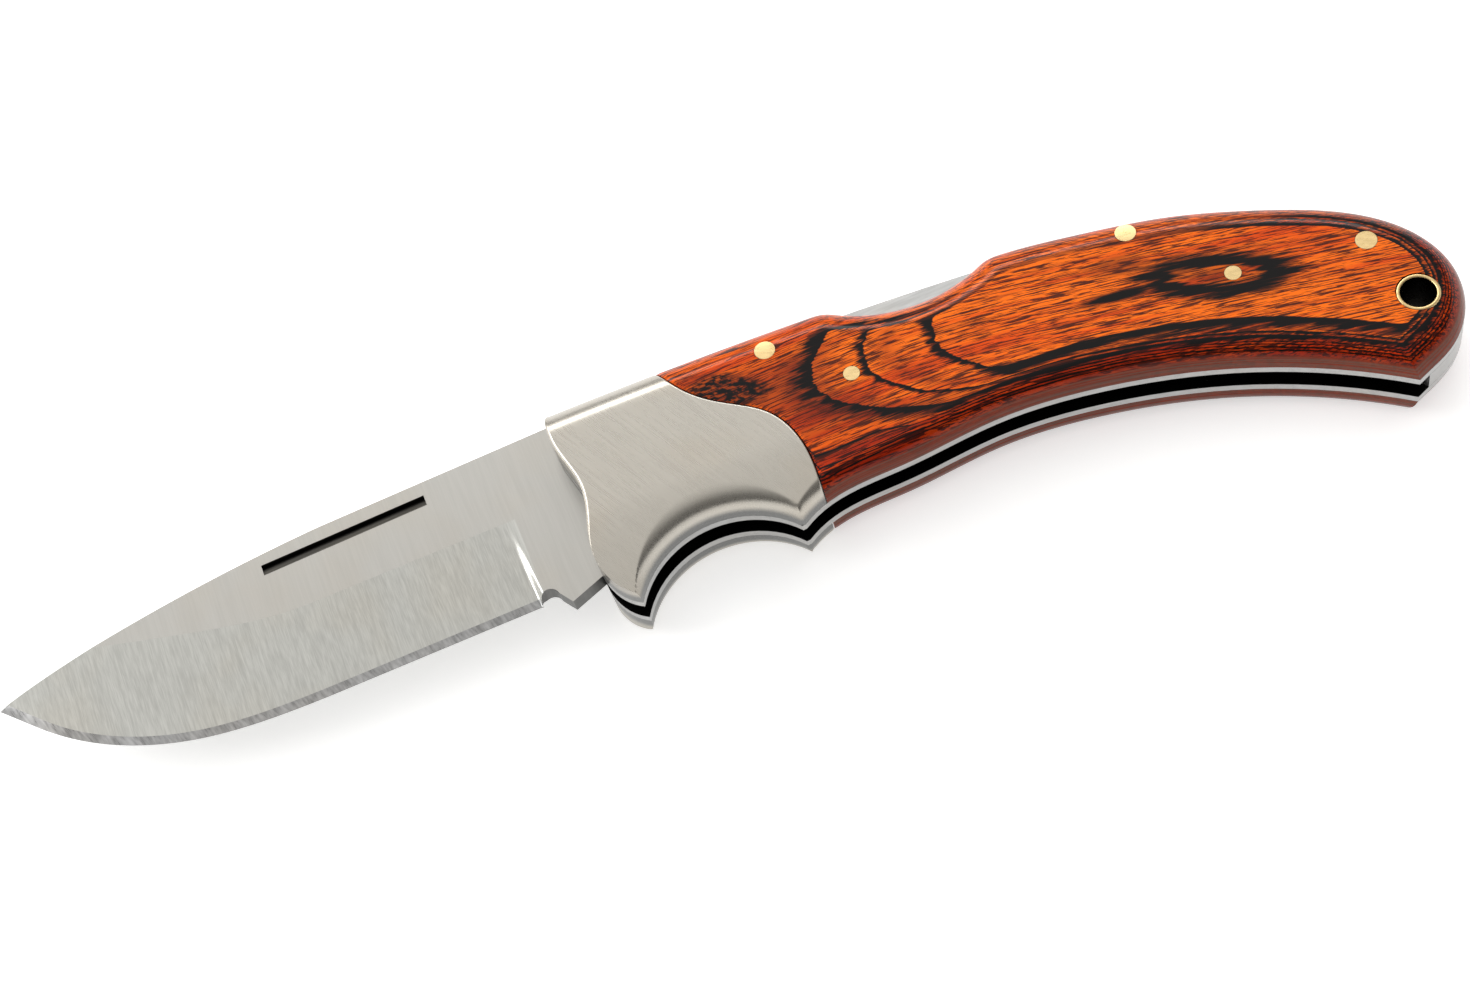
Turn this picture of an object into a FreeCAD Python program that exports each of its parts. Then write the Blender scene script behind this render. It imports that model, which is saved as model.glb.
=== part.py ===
import FreeCAD, Part
import math
import os

# A lock-back folding knife, lying open on its right side. The blade pivot is the Z axis, the butt of the
# handle points along +X, the spine faces +Y and the left side, with the nail slot, faces up.
# All sizes are in millimetres and all angles in degrees.

# Handle, seen from the side
handle_length = 115.5
handle_height = 24.5
spine_height = 16.59
spine_radius = 660.0
spine_fall_angle = 2.46
groove_radius = 13.4
notch_radius = 19.5
notch_shoulder_radius = 6.0
notch_depth = 3.6

# Handle, through its thickness
liner_thickness = 1.1
scale_thickness = 4.45
face_flat_width = 13.0
spine_shoulder_radius = 28.0
belly_shoulder_radius = 45.0
crown_bend_radius = 92.0
crown_spine_reach = 18.0
crown_belly_reach = 25.0
spine_round_radius = 5.2
belly_round_radius = 3.6
front_round_radius = 0.6
joint_gap = 0.12

# Blade
blade_reach = 90.8
blade_width = 24.85
blade_thickness = 2.4
heel_distance = 19.2
kick_distance = 15.3
kick_drop = 1.75
choil_height = 1.45
grind_edge_thickness = 0.5
edge_bevel_thickness = 0.06
edge_bevel_width = 1.1
nick_length = 23.5
nick_width = 1.65
nick_depth = 0.7
nick_distance = 28.4
nick_below_spine = 2.05

# Tang and lock
tang_radius = 7.1
lock_face_distance = 5.0
lock_floor_radius = 10.83
lock_tooth_width = 1.2
lock_tooth_depth = 0.85
hook_width = 1.35
hook_foot_height = 7.2
lock_bar_boss_radius = 3.2
lock_bar_tail_depth = 3.9
lock_bar_tail_gap = 0.4

# Pins, washers, tube and spring
pivot_pin_diameter = 4.0
washer_diameter = 9.4
washer_thickness = 0.2
spine_pin_diameter = 2.8
scale_rivet_diameter = 2.2
bolster_rivet_diameter = 2.0
bolster_rivet_depth = 2.6
tube_diameter = 5.6
tube_bore = 4.5
spring_thickness = 0.7
spring_root_length = 9.0
spring_free_length = 8.6
spring_rise = 0.9
spring_tip_gap = 0.05

# Clearances
side_clearance = 0.05
running_clearance = 0.03
seat_clearance = 0.02
lock_clearance = 0.1
shoulder_clearance = 0.2
overrun = 2.0

# Places on the handle, as shares of its length from the pivot and of its height
bolster_front_shares = ((-0.0848, 0.408), (-0.0745, 0.102), (-0.0909, -0.327), (-0.0814, -0.502))
bolster_toe_shares = (-0.0545, -0.624)
bolster_top_share = -0.0745
groove_centre_shares = (0.039, -0.882)
spur_shares = (0.1385, -0.567)
belly_shares = ((0.167, -0.506), (0.268, -0.473), (0.381, -0.449), (0.504, -0.527), (0.648, -0.755))
butt_corner_shares = (0.812, -1.249)
butt_shares = ((0.863, -1.147), (0.899, -0.980), (0.9155, -0.755), (0.899, -0.437), (0.852, -0.180),
               (0.764, 0.075), (0.667, 0.274), (0.566, 0.403))
notch_centre_share = 0.361
spine_bend_share = 0.478
joint_shares = ((0.052, 0.76), (0.0545, 0.674), (0.071, 0.449), (0.107, 0.249), (0.154, 0.057),
                (0.173, -0.176), (0.172, -0.453), (0.164, -0.653))
spacer_front_shares = (0.472, 0.204)
spacer_inner_shares = ((0.537, 0.163), (0.606, 0.045), (0.675, -0.135), (0.744, -0.44), (0.799, -0.755),
                       (0.811, -0.98), (0.828, -1.222))
lock_pin_shares = (0.180, 0.426)
front_rivet_shares = (0.2564, 0.067)
front_spacer_pin_shares = (0.609, 0.1935)
rear_rivet_shares = (0.689, -0.312)
rear_spacer_pin_shares = (0.837, -0.456)
tube_shares = (0.8525, -0.867)
bolster_rivet_shares = ((0.018, 0.42), (0.115, -0.19))

# Places on the blade, as shares of its reach from the pivot and of its width above the edge
spine_straight_end_share = 0.474
spine_point_shares = (0.785, 0.901)
tip_shares = (1.0, 0.754)
straight_edge_shares = ((0.201, 0.0), (0.507, 0.022))
straight_grind_shares = ((0.208, 0.541), (0.507, 0.569))
curved_edge_shares = ((0.507, 0.022), (0.62, 0.04), (0.72, 0.092), (0.837, 0.247), (0.925, 0.469), (1.0, 0.754))
curved_grind_shares = ((0.507, 0.569), (0.606, 0.61), (0.698, 0.70), (0.791, 0.805), (0.90, 0.94), (1.03, 1.12))
choil_middle_share = 0.4
choil_end_share = 0.67
choil_end_height_share = 0.25
tang_lower_angle = 233.0
cutter_below_share = 0.08
cutter_above_share = 1.15
bevel_above_share = 2.0
nick_overrun_share = 0.3

# Sizes that follow from those above
slot_width = blade_thickness + 2 * (washer_thickness + side_clearance)
half_slot = slot_width / 2
half_blade = blade_thickness / 2
liner_outer = half_slot + liner_thickness
half_thickness = liner_outer + scale_thickness
middle = half_thickness
pivot_radius = pivot_pin_diameter / 2
spine_pin_radius = spine_pin_diameter / 2
scale_rivet_radius = scale_rivet_diameter / 2
bolster_rivet_radius = bolster_rivet_diameter / 2
tube_radius = tube_diameter / 2

UP = FreeCAD.Vector(0, 0, 1)


def flat(x, y, z=0.0):
    return FreeCAD.Vector(x, y, z)


def handle_point(shares):
    """A place on the handle from its shares of the handle's length and height."""
    return flat(shares[0] * handle_length, shares[1] * handle_height)


spine_fall = math.radians(spine_fall_angle)
spine_centre = flat(-spine_radius * math.sin(spine_fall), spine_height - spine_radius * math.cos(spine_fall))


def spine_point(x):
    """A place on the long round arc of the spine."""
    return flat(x, spine_centre.y + math.sqrt(spine_radius ** 2 - (x - spine_centre.x) ** 2))


bolster_top = spine_point(bolster_top_share * handle_length)
edge_y = bolster_top.y - blade_width
lock_pin_place = handle_point(lock_pin_shares)
groove_centre = handle_point(groove_centre_shares)
tooth_tip_radius = lock_floor_radius + lock_clearance
tooth_back = lock_face_distance + lock_tooth_width
hook_front = tooth_back + lock_clearance
hook_radius = tooth_tip_radius + lock_tooth_depth
spacer_front = handle_point(spacer_front_shares)
lock_bar_tail = spacer_front.x - lock_bar_tail_gap
tail_under_y = spine_point(lock_bar_tail).y - lock_bar_tail_depth


def blade_point(shares, z=0.0):
    """A place on the blade from its shares of the blade's reach and of its width above the edge."""
    return flat(-shares[0] * blade_reach, edge_y + shares[1] * blade_width, z)


def unit(vector):
    return vector / vector.Length


def line(start, end):
    return Part.makeLine(start, end)


def curve(points, start=None, end=None):
    """A smooth curve through the points, which may leave the first and reach the last in given directions."""
    spline = Part.BSplineCurve()
    if start is None and end is None:
        spline.interpolate(points)
    else:
        leave = unit(start or points[1] - points[0])
        reach = unit(end or points[-1] - points[-2])
        spline.interpolate(Points=points, InitialTangent=leave, FinalTangent=reach, Scale=False)
    return spline.toShape()


def arc(start, through, end):
    return Part.Arc(start, through, end).toShape()


def arc_about(centre, start, end):
    """The shorter arc round a centre from one place to another."""
    half_way = unit(unit(start - centre) + unit(end - centre))
    return arc(start, centre + half_way * (start - centre).Length, end)


def on_circle(radius, x):
    """The upper place at x on a circle round the blade pivot."""
    return flat(x, math.sqrt(radius ** 2 - x ** 2))


def polyline(points):
    return [line(a, b) for a, b in zip(points, points[1:])]


def face_of(edges):
    return Part.Face(Part.Wire(edges))


def disc(centre, radius):
    return Part.Face(Part.Wire(Part.makeCircle(radius, centre)))


def slab(face, low, high):
    """The solid of a flat outline between two heights above the middle of the knife."""
    solid = face.extrude(UP * (high - low))
    solid.translate(UP * (middle + low))
    return solid


def rod(place, radius, low, high):
    base = flat(place.x, place.y, middle + low)
    return Part.makeCylinder(radius, high - low, base)


def mirrored(shape):
    """The right-hand twin of a left-hand piece."""
    return shape.mirror(flat(0, 0, middle), UP)


def cut_all(shape, tools):
    for tool in tools:
        shape = shape.cut(tool)
    return shape


def front_edges():
    """Front of the bolster, from the spine down to its toe."""
    return [curve([bolster_top] + [handle_point(s) for s in bolster_front_shares + (bolster_toe_shares,)])]


def belly_edges():
    """Belly of the handle, from the spur behind the finger groove to the lower corner of the butt."""
    return [curve([handle_point(s) for s in (spur_shares,) + belly_shares + (butt_corner_shares,)])]


def back_edges():
    """Back of the handle, from the lower corner of the butt up and along the spine, with the release notch."""
    bend = spine_point(spine_bend_share * handle_length)
    butt = [handle_point(s) for s in (butt_corner_shares,) + butt_shares] + [bend]
    outward = unit(spine_point(notch_centre_share * handle_length) - spine_centre)
    notch_reach = spine_radius - notch_depth + notch_radius
    shoulder_reach = spine_radius - notch_shoulder_radius
    hub_gap = notch_radius + notch_shoulder_radius
    swing_cosine = (notch_reach ** 2 + shoulder_reach ** 2 - hub_gap ** 2) / (2 * notch_reach * shoulder_reach)
    swing = math.degrees(math.acos(swing_cosine))
    notch_hub = spine_centre + outward * notch_reach

    def shoulder(angle):
        toward = FreeCAD.Rotation(UP, angle).multVec(outward)
        hub = spine_centre + toward * shoulder_reach
        return hub, spine_centre + toward * spine_radius, notch_hub + unit(hub - notch_hub) * notch_radius

    rear_hub, rear_top, rear_foot = shoulder(-swing)
    front_hub, front_top, front_foot = shoulder(swing)
    return [curve(butt, end=UP.cross(bend - spine_centre)),
            arc_about(spine_centre, bend, rear_top), arc_about(rear_hub, rear_top, rear_foot),
            arc_about(notch_hub, rear_foot, front_foot),
            arc_about(front_hub, front_foot, front_top), arc_about(spine_centre, front_top, bolster_top)]


def handle_face():
    """Side outline of the whole handle, with the finger groove cut out."""
    toe_to_spur = line(handle_point(bolster_toe_shares), handle_point(spur_shares))
    whole = face_of(BELLY + BACK + FRONT + [toe_to_spur])
    return whole.cut(disc(groove_centre, groove_radius)).Faces[0]


def behind(edges):
    """Flat region on the butt side of a line of edges that runs from the spine to the belly."""
    first = edges[0].Vertexes[0].Point
    last = edges[-1].Vertexes[-1].Point
    far = 2 * handle_length
    corners = [last, flat(last.x, -far), flat(far, -far), flat(far, far), flat(first.x, far), first]
    return face_of(edges + polyline(corners))


def joint_region():
    """Everything behind the joint between bolster and scale."""
    return behind([curve([handle_point(s) for s in joint_shares])])


def spacer_region():
    """Everything behind the inner edge of the back spacer."""
    start = flat(spacer_front.x, spine_height)
    inner = [spacer_front] + [handle_point(s) for s in spacer_inner_shares]
    below = flat(inner[-1].x + overrun, inner[-1].y - overrun)
    return behind([line(start, spacer_front), curve(inner), line(inner[-1], below)])


def crown_profile():
    """Cross-section of the handle: a flat band on each side that falls away in two round shoulders."""
    flat_half = face_flat_width / 2

    def fall(reach, radius):
        return radius - math.sqrt(radius ** 2 - (reach - flat_half) ** 2)

    def shoulder(sign, radius, reach):
        middle_reach = (flat_half + reach) / 2
        top = flat(0, sign * flat_half, half_thickness)
        half_way = flat(0, sign * middle_reach, half_thickness - fall(middle_reach, radius))
        end = flat(0, sign * reach, half_thickness - fall(reach, radius))
        return [top, half_way, end]

    spine = shoulder(1, spine_shoulder_radius, crown_spine_reach)
    belly = shoulder(-1, belly_shoulder_radius, crown_belly_reach)

    def under(points):
        return [flat(p.x, p.y, -p.z) for p in points]

    spine_under = under(spine)
    belly_under = under(belly)
    return face_of([line(belly[0], spine[0]), arc(*spine), line(spine[2], spine_under[2]),
                    arc(*reversed(spine_under)), line(spine_under[0], belly_under[0]), arc(*belly_under),
                    line(belly_under[2], belly[2]), arc(*reversed(belly))])


def crown():
    """Bar that gives bolsters, scales and pin heads their outer faces, bent along the spine and to the butt."""
    spine_bend = spine_point(spine_bend_share * handle_length)
    across = unit(spine_bend - spine_centre)
    bend = spine_bend - across * (handle_height / 2)
    profile = crown_profile()
    profile.rotate(flat(0, 0), UP, -math.degrees(math.atan2(across.x, across.y)))
    profile.translate(bend + UP * middle)
    along_spine = profile.revolve(spine_centre, UP, math.degrees(handle_length / spine_radius))
    hub = bend - across * crown_bend_radius
    to_butt = profile.revolve(hub, UP, -math.degrees(handle_length / crown_bend_radius))
    return along_spine.fuse(to_butt).removeSplitter()


def rim_profile(begin, inward, radius):
    """Section through the material that is taken off to round the outer rim, seen at one place on the rim."""
    bow = radius * (1 - math.sqrt(0.5))

    def at(depth, rise):
        return begin + inward * depth + UP * (middle + half_thickness + rise)

    foot = at(0, -radius)
    top = at(radius, 0)
    around = [top, at(radius, overrun), at(-overrun, overrun), at(-overrun, -radius), foot]
    return Part.Wire([arc(foot, at(bow, -bow), top)] + polyline(around))


def rim_rounding(edge, radius):
    """Cutter that rounds the outer rim of the left half along one edge with material on its left."""
    start = edge.valueAt(edge.FirstParameter)
    end = edge.valueAt(edge.LastParameter)
    direction = edge.tangentAt(edge.FirstParameter)
    profile = rim_profile(start, UP.cross(direction), radius)
    if isinstance(edge.Curve, Part.Circle):
        centre = edge.Curve.Center
        turn = unit((start - centre).cross(direction))
        angle = math.degrees((start - centre).getAngle(end - centre))
        return Part.Face(profile).revolve(centre, turn, angle)
    sweep = Part.BRepOffsetAPI.MakePipeShell(Part.Wire([edge]))
    sweep.setBiNormalMode(UP)
    sweep.add(profile)
    sweep.build()
    sweep.makeSolid()
    return sweep.shape()


def rim_roundings(edges, radius):
    """Cutters that round the rim along a smooth line of edges and run straight on past both of its ends."""
    first = edges[0]
    last = edges[-1]
    ahead = first.tangentAt(first.FirstParameter)
    onward = last.tangentAt(last.LastParameter)
    before = rim_profile(first.valueAt(first.FirstParameter) - ahead * overrun, UP.cross(ahead), radius)
    after = rim_profile(last.valueAt(last.LastParameter), UP.cross(onward), radius)
    runs = [Part.Face(before).extrude(ahead * overrun), Part.Face(after).extrude(onward * overrun)]
    return runs[:1] + [rim_rounding(edge, radius) for edge in edges] + runs[1:]


def groove_rounding():
    """Cutter that rounds the outer rim of the left half round the finger groove."""
    right = flat(1, 0)
    section = Part.Face(rim_profile(groove_centre + right * groove_radius, right, belly_round_radius))
    return section.revolve(groove_centre, UP, 360)


def half_handle():
    """Bolster and scale of the left side in one, with crowned face and rounded rims, before they are parted."""
    block = slab(HANDLE, liner_outer, half_thickness + overrun).common(CROWN)
    cutters = rim_roundings(BELLY, belly_round_radius) + [groove_rounding()]
    cutters += rim_roundings(BACK, spine_round_radius)
    cutters += [rim_rounding(edge, front_round_radius) for edge in FRONT]
    return cut_all(block, cutters)


BELLY = belly_edges()
BACK = back_edges()
FRONT = front_edges()
HANDLE = handle_face()
JOINT = joint_region()
SPACER = spacer_region()
CROWN = crown()
HALF = half_handle()


def liner_left():
    plate = slab(HANDLE, half_slot, liner_outer)
    return cut_all(plate, pin_holes() + bolster_rivet_holes())


def pin_holes():
    """Holes right through the handle for the pivot pin, the spine pins, the scale rivets and the tube."""
    reach = half_thickness + overrun
    spine_hole = spine_pin_radius + seat_clearance
    rivet_hole = scale_rivet_radius + seat_clearance
    holes = [rod(flat(0, 0), pivot_radius + seat_clearance, -reach, reach)]
    for shares in (lock_pin_shares, front_spacer_pin_shares, rear_spacer_pin_shares):
        holes.append(rod(handle_point(shares), spine_hole, -reach, reach))
    for shares in (front_rivet_shares, rear_rivet_shares):
        holes.append(rod(handle_point(shares), rivet_hole, -reach, reach))
    holes.append(rod(handle_point(tube_shares), tube_radius + seat_clearance, -reach, reach))
    return holes


def bolster_rivet_holes():
    """Blind holes from the slot side of the liner into the bolster."""
    depth = liner_outer + bolster_rivet_depth + seat_clearance
    radius = bolster_rivet_radius + seat_clearance
    return [rod(handle_point(s), radius, half_slot, depth) for s in bolster_rivet_shares]


def bolster_left():
    """Steel bolster round the pivot, with the finger groove in its lower side."""
    region = JOINT.copy()
    region.translate(flat(-joint_gap, 0))
    behind_joint = slab(region, half_slot, half_thickness + overrun)
    return cut_all(HALF, [behind_joint] + pin_holes() + bolster_rivet_holes())


def scale_left():
    """Wood scale that butts against the bolster."""
    behind_joint = slab(JOINT, half_slot, half_thickness + overrun)
    return cut_all(HALF.common(behind_joint), pin_holes())


def blade_outline():
    """Side outline of the open blade: spine, point, edge, choil, kick and the tang with its lock notch."""
    shoulder = spine_point(lock_face_distance - shoulder_clearance)
    straight_end = blade_point((spine_straight_end_share, 1))
    spine_through = blade_point(spine_point_shares)
    tip = blade_point(tip_shares)
    curved = [blade_point(s) for s in curved_edge_shares]
    heel = flat(-heel_distance, edge_y)
    kick = flat(-kick_distance, edge_y - kick_drop)
    choil_length = heel_distance - kick_distance
    choil_middle = flat(heel.x + choil_middle_share * choil_length, edge_y + choil_height)
    choil_end = flat(heel.x + choil_end_share * choil_length, edge_y + choil_end_height_share * choil_height)
    lower = math.radians(tang_lower_angle)
    quarter = math.radians((tang_lower_angle + 360) / 2)
    tang_start = flat(tang_radius * math.cos(lower), tang_radius * math.sin(lower))
    tang_low = flat(tang_radius * math.cos(quarter), tang_radius * math.sin(quarter))
    tang_end = flat(tang_radius, 0)
    pivot = flat(0, 0)
    hook_back = on_circle(hook_radius, hook_front + hook_width)
    hook_top = on_circle(hook_radius, hook_front)
    hook_root = on_circle(lock_floor_radius, hook_front)
    floor_front = on_circle(lock_floor_radius, shoulder.x)
    edges = [arc_about(spine_centre, shoulder, bolster_top), line(bolster_top, straight_end)]
    edges += [arc(straight_end, spine_through, tip), curve(curved, curved[0] - heel), line(curved[0], heel)]
    edges += [arc(heel, choil_middle, choil_end), line(choil_end, kick), line(kick, tang_start)]
    edges += [arc(tang_start, tang_low, tang_end)]
    edges += polyline([tang_end, flat(tang_radius, hook_foot_height), hook_back])
    edges += [arc_about(pivot, hook_back, hook_top), line(hook_top, hook_root)]
    edges += [arc_about(pivot, hook_root, floor_front), line(floor_front, shoulder)]
    return face_of(Part.sortEdges(edges)[0])


def grind_cutter(edge_shares, grind_shares, edge_half, top_half, rise_share, above_share):
    """Body above a straight-ruled face that climbs from the cutting edge towards the grind line.

    Each ruling leaves the edge at edge_half, reaches top_half at rise_share of the way to the grind line, and
    is carried on past both so that the cut is clean.
    """
    low = []
    high = []
    for edge_share, grind_share in zip(edge_shares, grind_shares):
        start = blade_point(edge_share, middle + edge_half)
        ruling = blade_point(grind_share, middle) - blade_point(edge_share, middle)
        step = ruling * rise_share + UP * (top_half - edge_half)
        low.append(start - step * (cutter_below_share / rise_share))
        high.append(start + step * above_share)
    if len(low) > 2:
        along_edge = blade_point(straight_edge_shares[1]) - blade_point(straight_edge_shares[0])
        sides = [curve(low, along_edge), curve(high)]
    else:
        sides = [line(*low), line(*high)]
    return Part.makeRuledSurface(*sides).extrude(UP * blade_thickness)


def grind_cutters():
    """Main grind and edge bevel on the left side, each over the straight and the curved stretch of the edge."""
    straight = (straight_edge_shares, straight_grind_shares)
    curved = (curved_edge_shares, curved_grind_shares)
    grind_half = grind_edge_thickness / 2
    bevel_half = edge_bevel_thickness / 2
    grind_height = (straight_grind_shares[0][1] - straight_edge_shares[0][1]) * blade_width
    bevel_share = edge_bevel_width / grind_height
    bevel_top = grind_half + bevel_share * (half_blade - grind_half)
    cutters = []
    for stretch in (straight, curved):
        cutters.append(grind_cutter(*stretch, grind_half, half_blade, 1, cutter_above_share))
        cutters.append(grind_cutter(*stretch, bevel_half, bevel_top, bevel_share, bevel_above_share))
    return cutters


def nail_nick():
    """Wedge-shaped slot cut under the spine, deepest on the spine side, for a thumbnail."""
    top = bolster_top.y - nick_below_spine
    face = middle + half_blade
    over = nick_depth * nick_overrun_share
    near = -nick_distance
    corners = [flat(near, top, face - nick_depth), flat(near, top, face + over),
               flat(near, top - nick_width, face + over), flat(near, top - nick_width, face)]
    return face_of(polyline(corners + corners[:1])).extrude(flat(-nick_length, 0))


def blade():
    body = slab(blade_outline(), -half_blade, half_blade)
    cutters = grind_cutters()
    body = cut_all(body, cutters + [mirrored(c) for c in cutters])
    hole = rod(flat(0, 0), pivot_radius + running_clearance, -half_slot, half_slot)
    return cut_all(body, [nail_nick(), hole])


def lock_bar():
    """Rocking bar whose tooth drops in front of the hook on the tang and whose tail is pressed to let it go."""
    tooth_front_tip = on_circle(tooth_tip_radius, lock_face_distance)
    tooth_back_tip = on_circle(tooth_tip_radius, tooth_back)
    nose_under_y = on_circle(hook_radius, hook_front).y + lock_clearance
    nose_top = spine_point(lock_face_distance)
    tail_top = spine_point(lock_bar_tail)
    under = [tooth_back_tip, flat(tooth_back, nose_under_y),
             flat(lock_pin_place.x - lock_bar_boss_radius, nose_under_y), flat(lock_pin_place.x, tail_under_y),
             flat(lock_bar_tail, tail_under_y), tail_top]
    edges = [arc_about(flat(0, 0), tooth_front_tip, tooth_back_tip)] + polyline(under)
    edges += [arc_about(spine_centre, tail_top, nose_top), line(nose_top, tooth_front_tip)]
    half_bar = half_slot - side_clearance
    bar = slab(face_of(edges), -half_bar, half_bar)
    bar = bar.fuse(rod(lock_pin_place, lock_bar_boss_radius, -half_bar, half_bar)).removeSplitter()
    return bar.cut(rod(lock_pin_place, spine_pin_radius + running_clearance, -half_slot, half_slot))


def spring_outline(grow):
    """Bent strip: a straight root in the back spacer and a free arm that rises to the tail of the lock bar."""
    half = flat(0, spring_thickness / 2 + grow)
    root_y = tail_under_y - spring_tip_gap - spring_rise - spring_thickness / 2
    rear = flat(spacer_front.x + spring_root_length + grow, root_y)
    bend = flat(spacer_front.x, root_y)
    tip = flat(spacer_front.x - spring_free_length, root_y + spring_rise)
    corners = [rear - half, bend - half, tip - half, tip + half, bend + half, rear + half]
    return face_of(polyline(corners + corners[:1]))


def lock_spring():
    half_strip = half_slot - side_clearance
    return slab(spring_outline(0), -half_strip, half_strip)


def back_spacer():
    """Steel spacer between the liners, from the lock bar round the butt, with a seat for the spring."""
    body = slab(HANDLE.common(SPACER), -half_slot, half_slot)
    seat = slab(spring_outline(seat_clearance), -half_slot, half_slot)
    return cut_all(body, [seat] + pin_holes())


def through_pin(place, radius):
    """Pin through the whole handle, dressed flush with both crowned faces."""
    reach = half_thickness + overrun
    return rod(place, radius, -reach, reach).common(CROWN)


def scale_rivet_left(shares):
    """Short rivet through one scale and its liner, flush with the slot."""
    return rod(handle_point(shares), scale_rivet_radius, half_slot, half_thickness + overrun).common(CROWN)


def lanyard_tube():
    tube = through_pin(handle_point(tube_shares), tube_radius)
    reach = half_thickness + overrun
    return tube.cut(rod(handle_point(tube_shares), tube_bore / 2, -reach, reach))


def pivot_washer_left():
    low = half_slot - washer_thickness
    ring = rod(flat(0, 0), washer_diameter / 2, low, half_slot)
    return ring.cut(rod(flat(0, 0), pivot_radius + running_clearance, low, half_slot))


def bolster_rivets_left():
    """Blind rivets that hold one bolster to its liner."""
    top = liner_outer + bolster_rivet_depth
    places = [handle_point(s) for s in bolster_rivet_shares]
    return Part.Compound([rod(place, bolster_rivet_radius, half_slot, top) for place in places])


def pieces():
    """Every piece of the knife by name."""
    left = {
        "liner": liner_left(),
        "bolster": bolster_left(),
        "scale": scale_left(),
        "pivot_washer": pivot_washer_left(),
        "bolster_rivets": bolster_rivets_left(),
        "scale_rivet_front": scale_rivet_left(front_rivet_shares),
        "scale_rivet_rear": scale_rivet_left(rear_rivet_shares),
    }
    made = {
        "blade": blade(),
        "blade_pivot_pin": through_pin(flat(0, 0), pivot_radius),
        "lock_bar": lock_bar(),
        "lock_bar_pin": through_pin(lock_pin_place, spine_pin_radius),
        "lock_spring": lock_spring(),
        "back_spacer": back_spacer(),
        "spacer_pin_front": through_pin(handle_point(front_spacer_pin_shares), spine_pin_radius),
        "spacer_pin_rear": through_pin(handle_point(rear_spacer_pin_shares), spine_pin_radius),
        "lanyard_tube": lanyard_tube(),
    }
    for name, shape in left.items():
        made[name + "_left"] = shape
        made[name + "_right"] = mirrored(shape)
    return made


os.makedirs("parts", exist_ok=True)
for name, shape in pieces().items():
    shape.exportStep("parts/" + name + ".step")
    print(name, "solids", len(shape.Solids), "volume", round(shape.Volume, 2), "valid", shape.isValid())
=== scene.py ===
import math
import bpy
import numpy as np
from mathutils import Matrix, Vector


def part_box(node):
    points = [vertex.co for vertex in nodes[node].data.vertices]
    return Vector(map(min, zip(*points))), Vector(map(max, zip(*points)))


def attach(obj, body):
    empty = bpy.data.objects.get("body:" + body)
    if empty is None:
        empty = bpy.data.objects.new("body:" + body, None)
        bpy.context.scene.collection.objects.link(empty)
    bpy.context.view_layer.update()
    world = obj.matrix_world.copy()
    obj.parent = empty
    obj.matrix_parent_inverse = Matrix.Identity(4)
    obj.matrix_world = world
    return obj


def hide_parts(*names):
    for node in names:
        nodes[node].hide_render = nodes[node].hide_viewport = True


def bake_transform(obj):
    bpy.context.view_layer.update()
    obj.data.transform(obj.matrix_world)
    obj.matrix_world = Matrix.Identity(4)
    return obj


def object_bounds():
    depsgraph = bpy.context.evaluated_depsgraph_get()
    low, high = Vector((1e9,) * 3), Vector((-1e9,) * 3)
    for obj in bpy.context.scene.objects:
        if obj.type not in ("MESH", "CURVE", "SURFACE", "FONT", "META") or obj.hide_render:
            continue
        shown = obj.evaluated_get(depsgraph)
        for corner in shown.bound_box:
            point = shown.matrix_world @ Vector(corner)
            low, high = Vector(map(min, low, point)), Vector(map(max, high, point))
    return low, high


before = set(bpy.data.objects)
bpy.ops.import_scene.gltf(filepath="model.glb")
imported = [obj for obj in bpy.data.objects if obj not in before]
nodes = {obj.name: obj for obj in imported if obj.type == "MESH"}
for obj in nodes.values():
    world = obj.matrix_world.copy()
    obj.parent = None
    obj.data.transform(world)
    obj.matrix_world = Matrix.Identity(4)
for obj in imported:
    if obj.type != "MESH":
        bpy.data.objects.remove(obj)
cad_low, cad_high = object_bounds()

# Liners: two plates of sheet steel, 1.1 mm thick, that everything else is riveted to. Their edges are ground
# bright together with the scales and show as two light lines along the slot.
MM = 0.001
middle = (cad_low.z + cad_high.z) / 2 / MM
steel_grey = (0.44, 0.44, 0.435)
# Painted shade: the liners' inner faces, down in the slot, fade to near-black between these depths.
liner_inside_painted_shade = (0.02, 0.02, 0.02)
liner_inside_shade_depths = (5.46, 5.53)
warm_cloud = (1.0, 0.98, 0.955)
cloud_fineness = (0.09, 0.09, 0.09)
coarse_scratches = (0.4, 0.3, 0.3)


class Shade:
    """A shader node's output. Sums of it that are written with + - * / become nodes in the same tree."""

    def __init__(self, socket):
        self.socket = socket
        self.tree = socket.id_data

    def __add__(self, other):
        return calc("ADD", self, other)

    def __sub__(self, other):
        return calc("SUBTRACT", self, other)

    def __rsub__(self, other):
        return calc("SUBTRACT", other, self)

    def __mul__(self, other):
        return calc("MULTIPLY", self, other)

    def __truediv__(self, other):
        return calc("DIVIDE", self, other)


def join(made, inputs):
    """Sets the named or numbered inputs of a node, or joins another node's output to them."""
    for name, value in inputs.items():
        if isinstance(value, Shade):
            value.tree.links.new(value.socket, made.inputs[name])
        else:
            made.inputs[name].default_value = value


def node(tree, kind, inputs=None, **settings):
    """A new node with its settings and inputs."""
    made = tree.nodes.new(kind)
    for name, value in settings.items():
        setattr(made, name, value)
    join(made, inputs or {})
    return made


def calc(operation, *values):
    """One sum on values that change over the surface."""
    tree = next(value.tree for value in values if isinstance(value, Shade))
    return Shade(node(tree, "ShaderNodeMath", dict(enumerate(values)), operation=operation).outputs[0])


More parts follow.
